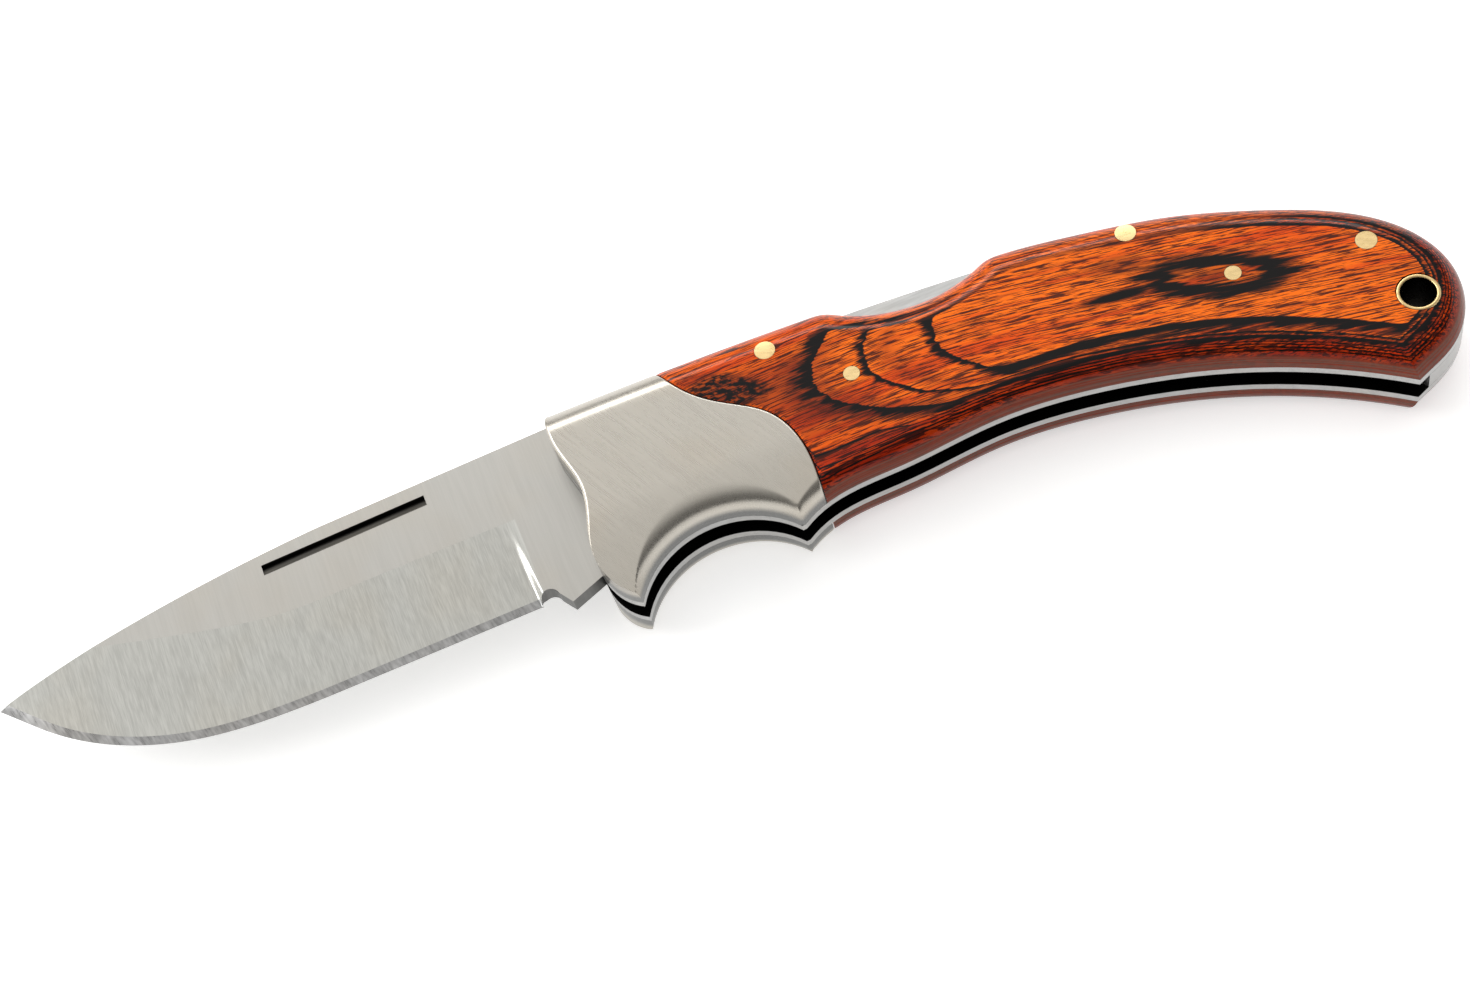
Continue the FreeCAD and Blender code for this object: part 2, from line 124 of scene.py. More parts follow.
def vector_calc(operation, *values):
    """One sum on vectors, of which the first changes over the surface; a length or a dot product gives a
    plain value."""
    made = node(values[0].tree, "ShaderNodeVectorMath", dict(enumerate(values)), operation=operation)
    return Shade(made.outputs["Value" if operation in ("LENGTH", "DOT_PRODUCT") else "Vector"])


def parts(place):
    """The three coordinates of a place."""
    return [Shade(socket) for socket in node(place.tree, "ShaderNodeSeparateXYZ", {0: place}).outputs]


def remap(value, start, end, low=0.0, high=1.0):
    """A value that goes smoothly from low to high while the input goes from start to end."""
    inputs = {"Value": value, "From Min": start, "From Max": end, "To Min": low, "To Max": high}
    made = node(value.tree, "ShaderNodeMapRange", inputs, interpolation_type="SMOOTHSTEP")
    return Shade(made.outputs["Result"])


def tint(share, first, second, way="MIX"):
    """A colour between two others; a plain colour is given as red, green and blue."""
    first, second = ((*c, 1.0) if isinstance(c, tuple) else c for c in (first, second))
    inputs = {0: share, 6: first, 7: second}
    return Shade(node(share.tree, "ShaderNodeMix", inputs, data_type="RGBA", blend_type=way).outputs[2])


def stretched(place, fineness, detail=2.0, turn=0.0):
    """Noise from 0 to 1 at a place in millimetres, with its own fineness along each axis after a turn."""
    inputs = {"Vector": place, "Angle": turn}
    aligned = node(place.tree, "ShaderNodeVectorRotate", inputs, rotation_type="Z_AXIS")
    scaled = vector_calc("MULTIPLY", Shade(aligned.outputs[0]), fineness)
    inputs = {"Vector": scaled, "Scale": 1.0, "Detail": detail}
    return Shade(node(place.tree, "ShaderNodeTexNoise", inputs).outputs["Fac"])


def brushed_group():
    """Shader group for brushed metal: a fine and a coarse noise, both drawn out along the brushing, add up to
    the scratches, and a broad noise makes the clouds."""
    tree = bpy.data.node_groups.new("brushing", "ShaderNodeTree")
    for name, way, kind in (("Place", "INPUT", "Vector"), ("Fineness", "INPUT", "Vector"),
                            ("Turn", "INPUT", "Float"), ("Scratches", "OUTPUT", "Float"),
                            ("Clouds", "OUTPUT", "Float")):
        tree.interface.new_socket(name, in_out=way, socket_type="NodeSocket" + kind)
    place, fineness, turn = (Shade(socket) for socket in tree.nodes.new("NodeGroupInput").outputs[:3])
    fine = stretched(place, fineness, 3.0, turn)
    coarse = stretched(place, vector_calc("MULTIPLY", fineness, coarse_scratches), 2.0, turn)
    node(tree, "NodeGroupOutput", {"Scratches": fine * 0.6 + coarse * 0.4,
                                   "Clouds": stretched(place, cloud_fineness)})
    return tree


BRUSHING = brushed_group()


def place_in_mm(tree):
    """The piece's own coordinates in millimetres."""
    own = Shade(node(tree, "ShaderNodeTexCoord").outputs["Object"])
    return vector_calc("MULTIPLY", own, (1 / MM,) * 3)


def finish_of(name):
    """A new material, its shader and the place on the piece in millimetres."""
    made = bpy.data.materials.new(name)
    made.use_nodes = True
    return made, made.node_tree.nodes["Principled BSDF"], place_in_mm(made.node_tree)


def brushed_metal(name, colour, roughness, fineness, contrast, turn=0.0, wall=None):
    """Metal brushed one way: scratches shade the colour by the contrast and spread the gloss, and broad
    clouds warm it. With a wall, the colour fades to a darker one between two depths below the face: painted
    shade on side walls and in hollows."""
    made, shader, place = finish_of(name)
    group = node(place.tree, "ShaderNodeGroup", {"Place": place, "Fineness": fineness, "Turn": turn},
                 node_tree=BRUSHING)
    scratches, clouds = (Shade(socket) for socket in group.outputs)
    dark, light = (tuple(min(1.0, share * c) for c in colour) for share in (1 - contrast, 1 + contrast))
    shade = tint(remap(scratches, 0.3, 0.7), dark, light)
    shade = tint(remap(clouds, 0.4, 0.7), shade, warm_cloud, "MULTIPLY")
    # Painted shade: between the two depths the colour fades to the wall's darker colour.
    if wall:
        wall_shade_colour, start, end = wall
        depth = middle - calc("ABSOLUTE", parts(place)[2] - middle)
        shade = tint(remap(depth, start, end), shade, wall_shade_colour)
    join(shader, {"Base Color": shade, "Roughness": remap(scratches, 0.3, 0.7, *roughness),
                  "Metallic": 1.0})
    return made


def dress(piece, *materials):
    """Gives a piece its materials, in the order of the material numbers on its faces."""
    piece.data.materials.clear()
    for made in materials:
        piece.data.materials.append(made)


# The liner steel turns near-black on its inner faces in the slot: painted shade.
liner_steel = brushed_metal("liner_steel", steel_grey, roughness=(0.26, 0.36), fineness=(0.3, 4.0, 4.0),
                            contrast=0.1, wall=(liner_inside_painted_shade, *liner_inside_shade_depths))
for name in ("liner_left", "liner_right", "bolster_rivets_left", "bolster_rivets_right"):
    dress(nodes[name], liner_steel)

# Washers: two thin bronze discs on the pivot pin, one on each side of the tang. They are punched from sheet
# and lie loose, and they keep the tang off the liners.
bronze = brushed_metal("bronze", (0.66, 0.46, 0.26), roughness=(0.3, 0.45), fineness=(2.0, 2.0, 2.0),
                       contrast=0.12)
for name in ("pivot_washer_left", "pivot_washer_right"):
    dress(nodes[name], bronze)

# Blade: drop-point blade of stainless steel, 2.4 mm thick, flat above the grind line and ground on both sides
# to a narrow sharpened edge. A nail slot is milled under the spine, and the tang behind the ricasso, which
# turns on the pivot pin, carries the lock notch.
blade_reach = 90.8
blade_width = 24.85
half_blade = 1.2
half_slot = 1.45
grind_half = 0.25
edge_half = 0.03
edge_bevel_width = 1.1
heel_distance = 19.2
kick_distance = 15.3
kick_drop = 1.75
plunge_width = 1.2
point_end = -64.0
plunge_start = -20.5
tang_root = -6.5
tip_trim = 0.05
spine_strip = 0.02
spine_radius = 660.0
spine_height = 16.59
spine_fall = math.radians(2.46)
bolster_top_x = -8.605
tang_radius = 7.1
lock_face_distance = 5.0
lock_clearance = 0.1
shoulder_clearance = 0.2
lock_tooth_width = 1.2
lock_tooth_depth = 0.85
lock_floor_radius = 10.83
hook_width = 1.35
hook_foot_height = 7.2
tang_lower_angle = math.radians(233.0)
running_clearance = 0.03
nick_length = 23.5
nick_width = 1.65
nick_depth = 0.7
nick_distance = 28.4
nick_below_spine = 2.05
edge_shares = np.array([(0.507, 0.022), (0.62, 0.04), (0.72, 0.092), (0.837, 0.247), (0.925, 0.469),
                        (1.0, 0.754)])
grind_shares = np.array([(0.507, 0.569), (0.606, 0.61), (0.698, 0.70), (0.791, 0.805), (0.90, 0.94),
                         (1.03, 1.12)])
spine_shares = np.array([(0.474, 1.0), (0.785, 0.901), (1.0, 0.754)])
plunge_shares = np.array([(0.201, 0.0), (0.208, 0.541)])
choil_shares = np.array([(0.0, 0.0), (0.4, 1.0), (0.67, 0.25)])
choil_height = 1.45
round_steps = 96
crease_angle = math.radians(40)
flat_face, ground_face, bevel_face, rim_face, slot_face = range(5)
# Painted shade in the nail slot: its floor fades to near-black between these depths.
slot_painted_shade = (0.012, 0.012, 0.012)
slot_shade_depths = (5.95, 6.5)
across_blade = math.radians(90)
across_edge = math.radians(75)
spine_centre = np.array((-spine_radius * math.sin(spine_fall),
                         spine_height - spine_radius * math.cos(spine_fall)))


def spine_y(x):
    """Height of the long round arc of the spine at x."""
    return spine_centre[1] + np.sqrt(spine_radius ** 2 - (x - spine_centre[0]) ** 2)


def unit(vector):
    """A vector divided by its length."""
    return vector / np.linalg.norm(vector)


def lengths(path):
    """Length of a path from its start to each of its points."""
    return np.concatenate(([0.0], np.cumsum(np.linalg.norm(np.diff(path, axis=0), axis=1))))


def smooth_path(points, start=None, end=None, steps=60):
    """Cubic curve through the points: between neighbours a cubic in chord length, with slopes that agree in
    their second derivatives. An end without a given slope takes that of the cubic through its four nearest
    points."""
    points = np.asarray(points, float)
    at = lengths(points)
    gap = np.diff(at)[:, None]

    def end_slope(near, values):
        """Slope, at the first of some points, of the one polynomial that runs through all of them."""
        weights = np.polynomial.polynomial.polyfit(near - near[0], values, len(near) - 1)
        return weights[1]

    rows = np.eye(len(at))
    right = np.zeros_like(points)
    right[0] = end_slope(at[:4], points[:4]) if start is None else start
    right[-1] = end_slope(at[:-5:-1], points[:-5:-1]) if end is None else end
    inner = np.arange(1, len(at) - 1)
    rows[inner, inner - 1] = gap[1:, 0]
    rows[inner, inner] = 2 * (gap[1:, 0] + gap[:-1, 0])
    rows[inner, inner + 1] = gap[:-1, 0]
    rise = np.diff(points, axis=0) / gap
    right[1:-1] = 3 * (gap[1:] * rise[:-1] + gap[:-1] * rise[1:])
    slope = np.linalg.solve(rows, right)
    share = np.linspace(0, 1, steps, endpoint=False)[None, :, None]
    a, b = points[:-1, None], points[1:, None]
    m, n = slope[:-1, None] * gap[:, None], slope[1:, None] * gap[:, None]
    run = ((2 * share ** 3 - 3 * share ** 2 + 1) * a + (share ** 3 - 2 * share ** 2 + share) * m
           + (3 * share ** 2 - 2 * share ** 3) * b + (share ** 3 - share ** 2) * n)
    return np.concatenate((run.reshape(-1, 2), points[-1:]))


def circle_through(points):
    """Centre and radius of the circle through three points, from the two lines that halve its chords."""
    chords = points[1:] - points[0]
    centre = points[0] + np.linalg.solve(chords, (chords ** 2).sum(1) / 2)
    return centre, np.linalg.norm(points[0] - centre)


def arc_run(centre, start, end, steps=24):
    """Places along the shorter arc round a centre from one place to another."""
    first, last = (math.atan2(*(p - centre)[::-1]) for p in (start, end))
    turn = (last - first + math.pi) % (2 * math.pi) - math.pi
    angle = first + turn * np.linspace(0, 1, steps)
    return centre + np.linalg.norm(start - centre) * np.stack((np.cos(angle), np.sin(angle)), 1)


def at_x(path, x):
    """Height of a path at x; the path runs from butt to point."""
    return np.interp(x, path[::-1, 0], path[::-1, 1])


top_y = spine_y(bolster_top_x)
edge_y = top_y - blade_width


def blade_places(shares):
    """Places on the blade from shares of its reach and of its width above the edge."""
    return np.stack((-shares[:, 0] * blade_reach, edge_y + shares[:, 1] * blade_width), 1)


heel = np.array((-heel_distance, edge_y))
kick = np.array((-kick_distance, edge_y - kick_drop))
tang_start = tang_radius * np.array((math.cos(tang_lower_angle), math.sin(tang_lower_angle)))
edge_places = blade_places(edge_shares)
edge_line = np.concatenate((heel[None], smooth_path(edge_places, unit(edge_places[0] - heel),
                                                    unit(edge_places[-1] - edge_places[-2]))))
plunge_line = blade_places(plunge_shares)
grind_line = np.concatenate((plunge_line[1:], smooth_path(blade_places(grind_shares))))
choil = heel + choil_shares * (heel_distance - kick_distance, choil_height)
choil_centre, choil_radius = circle_through(choil)
point_centre, point_radius = circle_through(blade_places(spine_shares))


def blade_top(x):
    """Spine of the blade: the handle's arc, a straight stretch at full width, a round fall to the point."""
    fall = point_centre[1] + np.sqrt(point_radius ** 2 - (x - point_centre[0]) ** 2)
    straight = np.where(x > -spine_shares[0, 0] * blade_reach, top_y, fall)
    return np.where(x > bolster_top_x, spine_y(np.maximum(x, bolster_top_x)), straight)


def blade_under(x):
    """Lower outline: the edge, then the round choil, the kick and the line up to the tang."""
    hollow = choil_centre[1] + np.sqrt(np.maximum(choil_radius ** 2 - (x - choil_centre[0]) ** 2, 0))
    behind = np.interp(x, (choil[2, 0], kick[0], tang_start[0]), (choil[2, 1], kick[1], tang_start[1]))
    return np.where(x <= heel[0], at_x(edge_line, x), np.where(x < choil[2, 0], hollow, behind))


def blade_half(x, y):
    """Half thickness of the blade: the flats, the ground face that falls evenly from grind line to edge, and
    the sharpened bevel, each eased in over the plunge at the ricasso."""
    edge = np.where(x < heel[0], at_x(edge_line, x), edge_y)
    rise = np.clip((y - edge) / (at_x(grind_line, x) - edge), 0, 1)
    ground = grind_half + (half_blade - grind_half) * rise
    steep = np.hypot(1, np.gradient(at_x(edge_line, x), axis=0) / np.gradient(x, axis=0))
    sharp = np.clip((y - edge) / (edge_bevel_width * steep), 0, 1)
    ground = np.where(sharp < 1, edge_half + (ground - edge_half) * sharp, ground)
    slant = plunge_line[1] - plunge_line[0]
    plunge_x = plunge_line[0, 0] + slant[0] * (y - edge_y) / slant[1]
    eased = np.clip((plunge_x - x) / plunge_width, 0, 1)
    return half_blade + (ground - half_blade) * eased ** 2 * (3 - 2 * eased)


def grid_quads(rows, columns):
    """Corner numbers of the quads of a grid whose points are numbered row by row."""
    i, j = np.meshgrid(np.arange(rows - 1), np.arange(columns - 1), indexing="ij")
    corner = i * columns + j
    return np.stack((corner, corner + columns, corner + columns + 1, corner + 1), -1).reshape(-1, 4)


def walls(upper, lower):
    """Quads between an upper and a lower line of points that run anticlockwise, seen from above."""
    return np.stack((lower[:-1], lower[1:], upper[1:], upper[:-1]), 1)


def new_piece(name, points, faces):
    """A mesh object from points in millimetres."""
    mesh = bpy.data.meshes.new(name)
    mesh.from_pydata(np.asarray(points) * MM, [], faces)
    mesh.update()
    piece = bpy.data.objects.new(name, mesh)
    bpy.context.scene.collection.objects.link(piece)
    return piece


def smooth_shaded(piece, angle):
    """Smooth shading, with a crease wherever two faces turn by more than the angle."""
    piece.data.shade_smooth()
    piece.data.set_sharp_from_angle(angle=angle)


def prisms(name, profiles, shift):
    """Straight bars: each profile of corners, anticlockwise round the shift, carried along the shift."""
    profiles = np.asarray(profiles, float)
    count, corners = profiles.shape[:2]
    points = np.concatenate((profiles, profiles + np.asarray(shift)), 1).reshape(-1, 3)
    first = np.arange(corners)
    after = np.roll(first, -1)
    starts = 2 * corners * np.arange(count)[:, None]
    sides = np.stack((first, after, after + corners, first + corners), 1)
    faces = (starts[:, :, None] + sides).reshape(-1, 4).tolist()
    faces += (starts + first[::-1]).tolist() + (starts + first + corners).tolist()
    return new_piece(name, points, faces)


def round_bar(name, place, radius, low, high):
    """A round bar along Z at a place in the plane."""
    angle = np.linspace(0, 2 * math.pi, round_steps, endpoint=False)
    ring = np.asarray(place, float) + radius * np.stack((np.cos(angle), np.sin(angle)), 1)
    return prisms(name, np.column_stack((ring, np.full(round_steps, low)))[None], (0, 0, high - low))


def cut_out(piece, *cutters):
    """Takes the space of the cutters out of a piece and does away with them."""
    for cutter in cutters:
        cut = piece.modifiers.new("cut", "BOOLEAN")
        cut.operation = "DIFFERENCE"
        cut.solver = "MANIFOLD"
        cut.object = cutter
    whole = piece.evaluated_get(bpy.context.evaluated_depsgraph_get())
    mesh = bpy.data.meshes.new_from_object(whole)
    piece.modifiers.clear()
    piece.data = mesh
    for cutter in cutters:
        bpy.data.objects.remove(cutter)


def end_crowded(steps, endpoint=True):
    """Shares from 0 to 1 that crowd together at both ends, spaced as the shadow of a turning spoke."""
    return (1 - np.cos(np.linspace(0, math.pi, steps, endpoint=endpoint))) / 2


def tang_outline():
    """Tang from the spine round to the kick's line: the spine's arc, the floor of the lock notch and the top
    of the hook as arcs round the pivot, the foot of the hook, and the round end."""
    pivot = np.zeros(2)
    shoulder_x = lock_face_distance - shoulder_clearance
    hook_front = lock_face_distance + lock_tooth_width + lock_clearance
    hook_radius = lock_floor_radius + lock_clearance + lock_tooth_depth

    def round_pivot(radius, x):
        """Place at x on the upper half of a circle round the pivot."""
        return np.array((x, math.sqrt(radius ** 2 - x ** 2)))

    spine_run = np.linspace(tang_root, shoulder_x, 8)[1:]
    notch = [round_pivot(lock_floor_radius, x) for x in (shoulder_x, hook_front)]
    hook = [round_pivot(hook_radius, x) for x in (hook_front, hook_front + hook_width)]
    half_angle = tang_lower_angle / 2
    bottom = tang_radius * np.array((math.cos(half_angle), -math.sin(half_angle)))
    return np.concatenate((
        np.stack((spine_run, spine_y(spine_run)), 1), arc_run(pivot, *notch, 6), arc_run(pivot, *hook, 5),
        [(tang_radius, hook_foot_height)], arc_run(pivot, np.array((tang_radius, 0.0)), bottom, 14)[:-1],
        arc_run(pivot, bottom, tang_start, 14)))


def blade_piece():
    """Blade and ricasso on a grid of stations along the length and of strips across: bevel, ground face and
    flat, the same above and below the middle. The tang is a flat outline joined to the last station."""
    x = np.concatenate((np.linspace(tip_trim - blade_reach, point_end, 90, endpoint=False),
                        np.linspace(point_end, plunge_start, 40, endpoint=False),
                        np.linspace(plunge_start, heel[0], 20),
                        heel[0] + (choil[2, 0] - heel[0]) * end_crowded(40, endpoint=False)[1:],
                        np.linspace(choil[2, 0], kick[0], 6, endpoint=False),
                        np.linspace(kick[0], tang_root, 14)))[:, None]
    low, high = blade_under(x), blade_top(x)
    slope = np.hypot(1, np.gradient(low, axis=0) / np.gradient(x, axis=0))
    bevel = np.minimum(low + edge_bevel_width * np.where(x < heel[0], slope, 1), (low + high) / 2)
    grind = np.clip(at_x(grind_line, x), bevel + spine_strip, high - spine_strip)
    y = np.concatenate((low + (bevel - low) * np.linspace(0, 1, 4, endpoint=False),
                        bevel + (grind - bevel) * np.linspace(0, 1, 30, endpoint=False),
                        grind + (high - grind) * np.linspace(0, 1, 14)), 1)
    x = np.broadcast_to(x, y.shape)
    half = blade_half(x, y)
    tang = tang_outline()
    rows, columns = y.shape
    upper = np.concatenate((np.stack((x, y, middle + half), -1).reshape(-1, 3),
                            np.column_stack((tang, np.full(len(tang), middle + half_blade)))))
    lower = upper * (1, 1, -1) + (0, 0, 2 * middle)
    size = len(upper)
    number = np.arange(y.size).reshape(rows, columns)
    quads = grid_quads(rows, columns)
    tang_numbers = y.size + np.arange(len(tang))
    outline = np.concatenate((number[0, ::-1], number[1:, 0], tang_numbers[::-1], number[::-1, -1]))
    cap = np.concatenate((number[-1, ::-1], tang_numbers[::-1]))
    faces = np.concatenate((quads, quads[:, ::-1] + size, walls(outline, outline + size))).tolist()
    faces += [cap.tolist(), (cap[::-1] + size).tolist()]
    return new_piece("blade_steel", np.concatenate((upper, lower)), faces)


def radius_of(name):
    """Radius of an upright round node: half of its box's width."""
    low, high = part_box(name)
    return (high.x - low.x) / 2 / MM


blade = blade_piece()
nick_top = top_y - nick_below_spine
nick_face = middle + half_blade
nick_over = nick_depth / 2
nick_corners = np.array([(nick_top - nick_width, nick_face), (nick_top - nick_width, nick_face + nick_over),
                         (nick_top, nick_face + nick_over), (nick_top, nick_face - nick_depth)])
nick = prisms("nail_slot", np.insert(nick_corners, 0, -nick_distance, axis=1)[None], (-nick_length, 0, 0))
pivot_radius = radius_of("blade_pivot_pin")
cut_out(blade, nick, round_bar("pivot_hole", (0, 0), pivot_radius + running_clearance,
                               middle - half_slot, middle + half_slot))
blade.data.shade_smooth()


def read(items, name, kind=float, width=1):
    """One property of all faces, edges or loops of a mesh."""
    values = np.empty(len(items) * width, kind)
    items.foreach_get(name, values)
    return values


def crease_blade(mesh):
    """Sharp lines where the blade's faces meet: its outline, the grind line, the bevel and the nail slot. A
    face counts to the ground side or the bevel by its middle, and an edge is sharp between faces of two
    kinds."""
    x, y, z = read(mesh.polygons, "center", width=3).reshape(-1, 3).T / MM
    upright = np.abs(read(mesh.polygons, "normal", width=3)[2::3])
    edge_x, edge_height = edge_line[::-1].T
    steep = np.hypot(1, np.interp(x, edge_x, np.gradient(edge_height, edge_x)))
    edge = np.where(x < heel[0], at_x(edge_line, x), edge_y)
    ground = (x < plunge_line[0, 0]) & (y < at_x(grind_line, x))
    bevel = (x < heel[0]) & (y < edge + edge_bevel_width * steep)
    kind = np.where(bevel, bevel_face, np.where(ground, ground_face, flat_face))
    kind[upright < 0.5] = rim_face
    slot = np.abs(x + nick_distance + nick_length / 2) <= nick_length / 2 + spine_strip
    slot &= np.abs(y - nick_top + nick_width / 2) <= nick_width / 2 + spine_strip
    slot &= (z > middle) & (z < nick_face - spine_strip / 2)
    kind[slot & ~bevel & ~ground] = slot_face
    mesh.polygons.foreach_set("material_index", kind.astype(np.int32))
    mesh.set_sharp_from_angle(angle=crease_angle)
    loops = read(mesh.loops, "edge_index", np.int32)
    owner = np.repeat(kind, read(mesh.polygons, "loop_total", np.int32))
    least = np.full(len(mesh.edges), slot_face)
    most = np.full(len(mesh.edges), flat_face)
    np.minimum.at(least, loops, owner)
    np.maximum.at(most, loops, owner)
    sharp = read(mesh.edges, "use_edge_sharp", bool)
    mesh.edges.foreach_set("use_edge_sharp", sharp | (least != most))
    mesh.update()


dress(blade,
      brushed_metal("blade_flat", (0.435, 0.425, 0.40), roughness=(0.28, 0.31), fineness=(0.15, 6.0, 6.0),
                    contrast=0.03, turn=across_blade),
      brushed_metal("blade_ground", (0.445, 0.445, 0.42), roughness=(0.29, 0.34), fineness=(0.15, 8.0, 8.0),
                    contrast=0.11, turn=across_blade),
      brushed_metal("blade_edge", (0.33, 0.33, 0.33), roughness=(0.25, 0.42), fineness=(0.3, 2.6, 2.6),
                    contrast=0.3, turn=across_edge),
      # The rim faces (spine, choil, kick and other outline walls) are the blade steel painted much darker:
      # painted shade.
      brushed_metal("blade_rim_painted_shade", (0.16, 0.16, 0.155), roughness=(0.3, 0.42), fineness=(2.0, 2.0, 0.3),
                    contrast=0.15),
      # The nail slot's dark steel and its near-black floor are painted shade in the milled hollow.
      brushed_metal("nail_slot", (0.095, 0.09, 0.08), roughness=(0.4, 0.5), fineness=(0.1, 3.0, 3.0),
                    contrast=0.25, wall=(slot_painted_shade, *slot_shade_depths)))
crease_blade(blade.data)
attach(blade, "blade")
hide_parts("blade")

# Lock bar and back spacer: blanked from plate and ground to the slot's width, so their edges are plain steel.
# The bar rocks on its pin; the spacer is pinned between the liners and holds the root of the spring.
lock_steel = brushed_metal("lock_steel", steel_grey, roughness=(0.3, 0.4), fineness=(0.3, 3.0, 3.0),
                           contrast=0.1)
for name in ("lock_bar", "back_spacer"):
    dress(nodes[name], lock_steel)

# Lock spring: a strip of tempered steel, bent once, with its root in the spacer and its tip under the bar's
# tail. It bends with the bar when the lock is pressed.
spring_thickness = 0.7
spring_free_length = 8.6
spring_rise = 0.9
spring_low, spring_high = (np.array(corner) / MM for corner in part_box("lock_spring"))


def sheet_piece(name, upper, lower):
    """A closed sheet between two grids of points: both faces and the four walls between their rims."""
    rows, columns = upper.shape[:2]
    size = rows * columns
    number = np.arange(size).reshape(rows, columns)
    quads = grid_quads(rows, columns)
    rim = np.concatenate((number[0, ::-1], number[1:, 0], number[-1, 1:], number[-2::-1, -1]))
    faces = np.concatenate((quads, quads[:, ::-1] + size, walls(rim, rim + size)))
    return new_piece(name, np.concatenate((upper.reshape(-1, 3), lower.reshape(-1, 3))), faces)


def spring_piece():
    """A strip along a level root and a sloping arm, with its thickness measured up and down."""
    bend_x = spring_low[0] + spring_free_length
    x = np.concatenate((np.linspace(spring_low[0], bend_x, 16, endpoint=False),
                        np.linspace(bend_x, spring_high[0], 6)))
    root_y = spring_low[1] + spring_thickness / 2
    y = root_y + spring_rise * np.clip((bend_x - x) / spring_free_length, 0, 1)
    z = np.linspace(spring_high[2], spring_low[2], 4)
    place = np.stack(np.broadcast_arrays(x[:, None], y[:, None], z[None]), -1)
    half = np.array((0, spring_thickness / 2, 0))
    return sheet_piece("spring_strip", place + half, place - half)


spring = spring_piece()
dress(spring, brushed_metal("spring_steel", (0.42, 0.43, 0.46), roughness=(0.28, 0.4),
                            fineness=(0.4, 3.0, 3.0), contrast=0.1))
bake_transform(spring)
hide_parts("lock_spring")

# Bolsters: steel blocks riveted to the liners round the pivot, ground to one outline with the scales. The
# finger groove is hollowed out of the lower side and the rims are rounded, all satin finished.
handle_length = 115.5
handle_height = 24.5
half_thickness = 7.0
liner_outer = 2.55
groove_radius = 13.4
notch_radius = 19.5
notch_shoulder_radius = 6.0
notch_depth = 3.6
face_flat_width = 13.0
spine_shoulder_radius = 28.0
belly_shoulder_radius = 45.0
crown_bend_radius = 92.0
spine_round_radius = 5.2
belly_round_radius = 3.6
front_round_radius = 0.6
joint_gap = 0.12
joint_round_radius = 0.3
rim_step = 0.05
seam = 0.004
front_shares = [(-0.0848, 0.408), (-0.0745, 0.102), (-0.0909, -0.327), (-0.0814, -0.502), (-0.0545, -0.624)]
groove_shares = (0.039, -0.882)
spur_share = (0.1385, -0.567)
belly_shares = [(0.167, -0.506), (0.268, -0.473), (0.381, -0.449), (0.504, -0.527), (0.648, -0.755)]
corner_share = (0.812, -1.249)
butt_shares = [(0.566, 0.403), (0.667, 0.274), (0.764, 0.075), (0.852, -0.180), (0.899, -0.437),
               (0.9155, -0.755), (0.899, -0.980), (0.863, -1.147)]
joint_shares = [(0.052, 0.76), (0.0545, 0.674), (0.071, 0.449), (0.107, 0.249), (0.154, 0.057),
                (0.173, -0.176), (0.172, -0.453), (0.164, -0.653)]
notch_share = 0.361
bend_share = 0.478
handle_crease = math.radians(30)
# Painted shade: the bolsters' side walls fade to dark grey between these depths below the face.
bolster_side_painted_shade = (0.20, 0.20, 0.195)
bolster_side_shade_depths = (2.3, 3.5)
bolster_brushing = math.radians(65)
handle_size = np.array((handle_length, handle_height))


def handle_places(shares):
    """Places on the handle from shares of its length and height."""
    return np.asarray(shares, float) * handle_size


def on_spine(x):
    """Place on the spine's arc at x."""
    return np.array((x, spine_y(x)))


def turned(vector, angle):
    """A flat vector turned anticlockwise by an angle."""
    return np.array((vector[0] * math.cos(angle) - vector[1] * math.sin(angle),
                     vector[0] * math.sin(angle) + vector[1] * math.cos(angle)))


def back_line():
    """Back of the handle from the bolster's top to the lower corner of the butt: the spine's arc, the release
    notch between its two round shoulders, the arc again, and a smooth curve round the butt. Where notch and
    shoulder meet follows from the triangle of their hubs and the spine's centre."""
    outward = unit(on_spine(notch_share * handle_length) - spine_centre)
    notch_reach = spine_radius - notch_depth + notch_radius
    shoulder_reach = spine_radius - notch_shoulder_radius
    hubs_apart = notch_radius + notch_shoulder_radius
    swing = math.acos((notch_reach ** 2 + shoulder_reach ** 2 - hubs_apart ** 2)
                      / (2 * notch_reach * shoulder_reach))
    notch_hub = spine_centre + outward * notch_reach
    hubs = [spine_centre + turned(outward, side * swing) * shoulder_reach for side in (1, -1)]
    tops = [spine_centre + turned(outward, side * swing) * spine_radius for side in (1, -1)]
    feet = [notch_hub + unit(hub - notch_hub) * notch_radius for hub in hubs]
    bend = on_spine(bend_share * handle_length)
    along = unit(bend - spine_centre)[::-1] * (1, -1)
    butt = np.concatenate((bend[None], handle_places(butt_shares + [corner_share])))
    return np.concatenate((
        arc_run(spine_centre, on_spine(bolster_top_x), tops[0], 60)[:-1],
        arc_run(hubs[0], tops[0], feet[0])[:-1],
        arc_run(notch_hub, feet[0], feet[1], 40)[:-1],
        arc_run(hubs[1], feet[1], tops[1])[:-1],
        arc_run(spine_centre, tops[1], bend, 12)[:-1],
        smooth_path(butt, along, unit(butt[-1] - butt[-2]), 40)))


BACK = back_line()
BELLY = smooth_path(handle_places([spur_share] + belly_shares + [corner_share]))
GROOVE_CENTRE = handle_places(groove_shares)
front_places = np.concatenate((on_spine(bolster_top_x)[None], handle_places(front_shares)))
front_whole = smooth_path(front_places, steps=200)
FRONT = front_whole[np.linalg.norm(front_whole - GROOVE_CENTRE, axis=1) > groove_radius]
rim_angle = math.asin((liner_outer + rim_step - half_thickness + spine_round_radius) / spine_round_radius)
rim_inset = spine_round_radius * (1 - math.cos(rim_angle))


